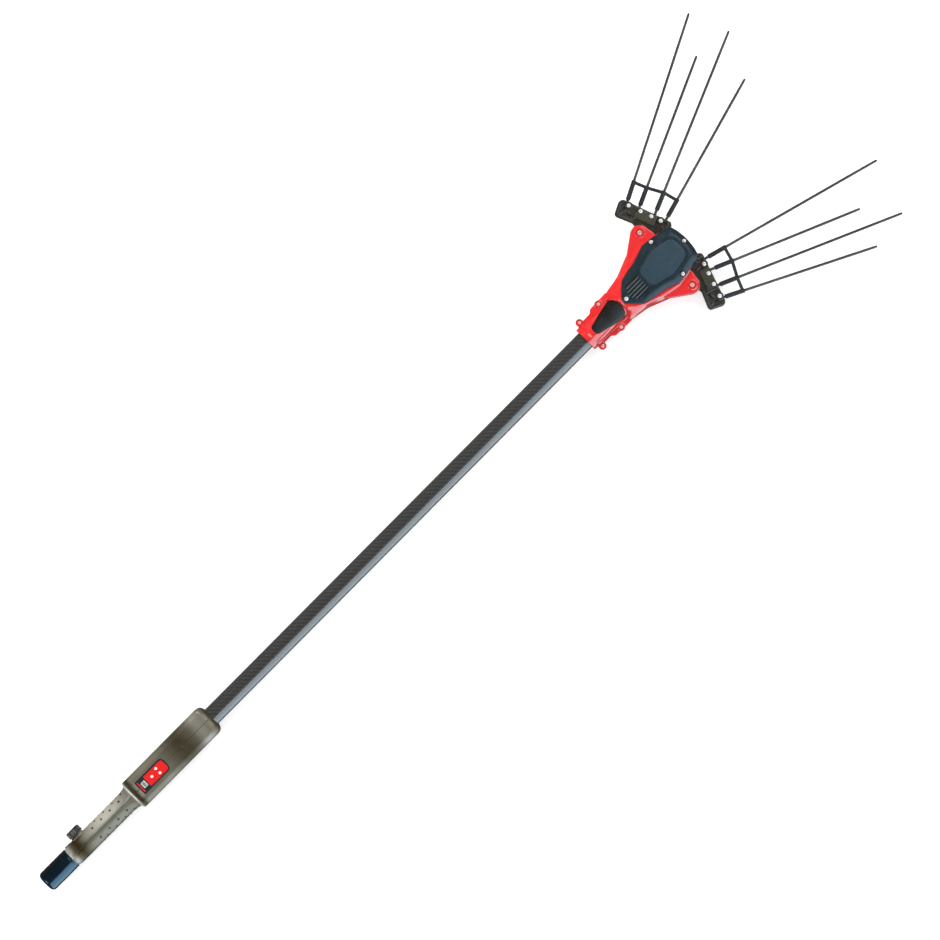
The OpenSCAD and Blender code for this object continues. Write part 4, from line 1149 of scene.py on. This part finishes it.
def neck_pad():
    centre = 60
    angles = np.linspace(-math.pi, math.pi, 140, endpoint=False)
    edge = polar(rounded(mirrored(PAD), 4), centre, angles)
    rings = []
    for shrink, rise in ((0.06, -1.9), (0.35, -1.9), (0.7, -1.9), (1, -1.9), (1, -0.4), (0.99, 0.25),
                         (0.975, 0.5), (0.95, 0.62), (0.85, 0.75), (0.65, 0.85), (0.45, 0.9),
                         (0.25, 0.9), (0.06, 0.9)):
        over = (NECK_R + rise) ** 2 - (edge * shrink * np.sin(angles)) ** 2
        rings.append(polar_ring(centre, edge * shrink, angles, np.sqrt(np.maximum(over, 25))))
    pad = loft("pad_skin", rings, sharp=60)
    for y0, y1 in ((0, 0), (4, 6.5), (-4, -6.5), (8, 13), (-8, -13)):
        ends = ((HEAD_X + x, y, math.sqrt((NECK_R + 1.5) ** 2 - y * y)) for x, y in ((42, y0), (80, y1)))
        cut(pad, capsule(*ends, 1.2))
    finish(soften(pad, 40), "pad", "pad_rubber", "neck_pad")


def head_fasteners():
    places = [middle(p) for p in islands("head_screws")]
    fasteners("lug_screw_heads", socket_head("screw", 3.3, 2.0, 1.1), at_height(places, 6.8),
              "head_screws", look="pink")
    pins = []
    for p in islands("pivot_pins"):
        at = middle(p)
        hi = p.max(axis=0)[2]
        top = [(4.95, hi - 3), (4.6, hi - 2.4), (4.4, hi - 0.8), (3.7, hi - 0.1), (0, hi)]
        profile = [(r, -h) for r, h in top[::-1]] + top
        pin = lathe("pin", profile, foot(at), segments=64, sharp=50)
        for z0, z1 in ((hi - 1.6, hi + 2), (-hi - 2, -hi + 1.6)):
            cut(pin, lathe("bit", [(1.7, z0), (1.7, z1)], foot(at), segments=6))
        pins.append(soften(pin, 40))
    finish(join("pivot_pin_pair", pins), "pink", "steel", "pivot_pins")


def base_plate():
    lo, hi = corners("base_plate")
    screws = [middle(p) for p in islands("base_screws")]
    outline = [(lo[0] - HEAD_X, 14), (125, 25), (180, 38), (215, 36), (240, 26), (hi[0] - HEAD_X, 12)]
    skin = plate("sole", resample(rounded(in_head(mirrored(outline)), 6), 2.5), lo[2], hi[2], 1.2)
    divide(skin, 8.3)
    for at in screws:
        cut(skin, lathe("seat", [(3.5, -27.5), (3.7, -28.6), (4.6, -32)], foot(at)))
    for x in (140, 152, 164):
        cut(skin, plate("slot", rectangle(HEAD_X + x, -18, HEAD_X + x + 4, 18, 1.9), -35, -28.6, 0.3))
    finish(soften(skin, 40), "black", "black_plastic", "base_plate")
    fasteners("base_screw_heads", socket_head("screw", 3.0, 1.8, 1.2), at_height(screws, -27.6),
              "base_screws", down=(0, 0, 1))


# --- combs

def soft_copy(node, name, voxel, smooth=5, keep=None):
    """A copy of a CAD part whose edges are rounded like a moulding's."""
    copy = add_object(name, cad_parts[node].data.copy())
    copy.data.materials.clear()
    return melt(copy, voxel, smooth, keep=keep)


def tine(name, points, body, node):
    """A carbon rod along its own X axis with a blunt rounded tip."""
    centre = points.mean(axis=0)
    axis = np.linalg.svd(points - centre)[2][0]
    axis *= np.sign(axis[0])
    along = (points - centre) @ axis
    length = along.max() - along.min()
    root = centre + axis * along.min()
    r = 2.5
    profile = [(0, 0), (r, 0)] + [(r, x) for x in np.linspace(8, length - 60, 8)]
    profile += [(r - 0.08, length - 30), (r - 0.2, length - 6), (r - 0.35, length - 2.2),
                (r - 0.7, length - 0.9), (r - 1.3, length - 0.2), (0, length)]
    rod = lathe(name, profile, axis="X", segments=28, sharp=50)
    turn = Vector(axis).to_track_quat("X", "Z").to_matrix().to_4x4()
    rod.matrix_world = Matrix.Translation(Vector(root) * MM) @ turn
    finish(rod, "tine", "carbon", node, body=body)


BOLTS = [middle(p) for p in islands("left_bolts")]
BOLTS.sort(key=lambda p: -p[1])
FIRST_BOLT = (10.2, 6)                      # the outer bolt's place along the bar and back from its edge
ALONG = (BOLTS[-1] - BOLTS[0])[:2] / np.linalg.norm((BOLTS[-1] - BOLTS[0])[:2])
BACK = np.array([ALONG[1], -ALONG[0]])
ARM_TOP = 8.9
ARM_FRONT = [(-1, 34), (-6, 31), (-9, 8), (-6, 2), (-1, 0), (92, 0), (97, 7), (88, 25)]
ARM_REAR = [(213, 50), (203, 54), (207.5, 88)]
ARM_RIBS = [((10, 14), (0, 28)), ((10, 14), (27, 27)), ((-2, 30), (30, 28.5)), ((-5, 8), (-3.5, 27)),
            ((26, 3), (26, 24)), ((74, 13), (70, 24)), ((76, 12), (86, 20)), ((89, 3), (88, 19))]


def on_bar(along, back):
    """A point of the left comb's bar, by its distance along the front edge and back from it."""
    return BOLTS[0][:2] + (along - FIRST_BOLT[0]) * ALONG + (back - FIRST_BOLT[1]) * BACK


def bar_pocket(x0, y0, x1, y1, radius, z0, z1):
    """A pocket's shape, square to the bar."""
    outline = [on_bar(x0, y0), on_bar(x1, y0), on_bar(x1, y1), on_bar(x0, y1)]
    return plate("pocket", rounded(outline, radius), z0, z1, 0.3)


def comb_arm(name):
    """The left comb's arm: a bevelled slab with a hub, a lever, bolt bosses and moulded ribs."""
    outline = np.array([on_bar(*p) for p in ARM_FRONT] + list(in_head(ARM_REAR)))
    parts = [plate("slab", resample(rounded(outline, [4, 4, 4, 3, 3, 4, 5, 3, 2, 2, 4]), 1.5),
                   -ARM_TOP, ARM_TOP, 2.2, 4)]
    hub = in_head(PIVOT)
    parts.append(lathe("hub", [(0, -9.8), (14, -9.8), (15, -8.8), (15, 8.8), (14, 9.8), (0, 9.8)],
                       foot(hub)))
    pin = middle(np.array(corners("yoke_pins")))
    slot = [pin[0] - HEAD_X, PIVOT[1] - 30]
    lever = [(slot[0] - 9.5, PIVOT[1]), (slot[0] - 9.5, slot[1] - 9.5), (slot[0] + 9.5, slot[1] - 9.5),
             (slot[0] + 9.5, PIVOT[1])]
    parts.append(plate("lever", rounded(in_head(lever), [0, 9.4, 9.4, 0], 10), 2, 8, 0.6))
    for at in (BOLTS[0], BOLTS[-1]):
        parts.append(lathe("boss", [(0, 6), (7.4, 6), (6.8, 11.6), (6.2, 12.4), (0, 12.4)],
                           foot(at)))
    for a, b in ARM_RIBS:
        for z in (ARM_TOP - 0.2, 0.2 - ARM_TOP):
            parts.append(capsule((*on_bar(*a), z), (*on_bar(*b), z), 1.15))
    arm = melt(join(name, parts), 0.55, 4, keep=0.6)
    cut(arm, rod_tool(foot(hub), 7.6, -12, 12))
    gap = rectangle(-4.4, -5.4, 4.4, 5.4, 4.3, 10)
    cut(arm, plate("gap", in_head(gap + slot), -1, 20, 0.1))
    for at in (BOLTS[0], BOLTS[-1]):
        cut(arm, lathe("seat", [(5.3, 10.2), (5.6, 16)], foot(at)))
    for *area, deep in ((13, 19, 23, 25.5, 3.4), (2, 12, 8, 20, 2.6), (79, 4, 85, 10, 2.4)):
        cut(arm, bar_pocket(*area, 1.6, ARM_TOP - deep, 14))
    for x in (2, 26, 50):
        cut(arm, bar_pocket(x, 8, x + 18, 26, 2, -14, -6))
    return arm


def comb_clamp(name):
    """The plate that clamps the two middle tines, with a cast pattern of grooves."""
    lo, hi = corners("left_clamp")
    outline = [on_bar(*p) for p in ((28, 0.8), (66, 0.8), (66, 19), (63, 21), (34, 21), (28, 26))]
    clamp = plate(name, resample(rounded(outline, [1.5, 1.5, 2, 2, 3, 2]), 1.5), lo[2], hi[2], 1.1)
    divide(clamp, 4.1)
    top = hi[2] + 0.25
    for along in (31.5, 40, 45, 50):
        cut(clamp, capsule((*on_bar(along, 12.5), top), (*on_bar(along + 1.5, 18.6), top), 0.9))
    cut(clamp, capsule((*on_bar(38.5, 3.4), top), (*on_bar(50.5, 3.4), top), 0.9))
    for at in BOLTS[1:3]:
        cut(clamp, lathe("seat", [(5.3, 10.2), (5.6, 16)], foot(at)))
    return soften(clamp, 35)


def comb(side):
    body = side + "_comb"
    arm, clamp = comb_arm(side + "_arm_moulding"), comb_clamp(side + "_clamp_plate")
    if side == "right":
        arm, clamp = flip(arm, "Y"), flip(clamp, "Y")
    finish(soften(arm, 38), "comb", "comb_black", side + "_arm", body=body)
    finish(clamp, "olive", "comb_black", side + "_clamp", body=body)
    bridge = soft_copy(side + "_tine_bridge", side + "_bridge_moulding", 0.4, 8, keep=0.4)
    finish(bridge, "bridge", "bridge_rubber", side + "_tine_bridge", body=body)
    places = [middle(p) for p in islands(side + "_bolts")]
    tops = [p.max(axis=0)[2] for p in islands(side + "_bolts")]
    fasteners(side + "_bolt_heads", socket_head("bolt", 3.8, 3, 1.4),
              [(p[0], p[1], top - 4.6) for p, top in zip(places, tops)], side + "_bolts", body=body)
    for length in ("long", "short"):
        node = f"{side}_{length}_tines"
        for i, points in enumerate(islands(node)):
            tine(f"{side}_{length}_tine_{i + 1}", points, body, node)


# --- CAD parts that stay

KEPT = {
    "black": "cap_clip inlet_socket",
    "pad": "supply_lead motor_lead cap_seal",
    "brass": "inlet_contacts crown_gear left_bush right_bush",
    "board": "control_board",
    "steel": "switches crank_bearings guide_rods motor_shaft drive_pinion crank_shaft yoke_pins",
    "alloy": "motor_can motor_mount bearing_bridge yoke crank_roller",
    "copper": "motor_stator",
    "magnet": "rotor_magnet",
}


def dress_cad():
    for look, nodes in KEPT.items():
        for node in nodes.split():
            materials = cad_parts[node].data.materials
            materials.clear()
            materials.append(MAT[look])


for build in (pole, butt_cap, handle, keypad, inlet, head_shells, head_cover, neck_pad, head_fasteners,
              base_plate):
    build()
comb("left")
comb("right")
dress_cad()
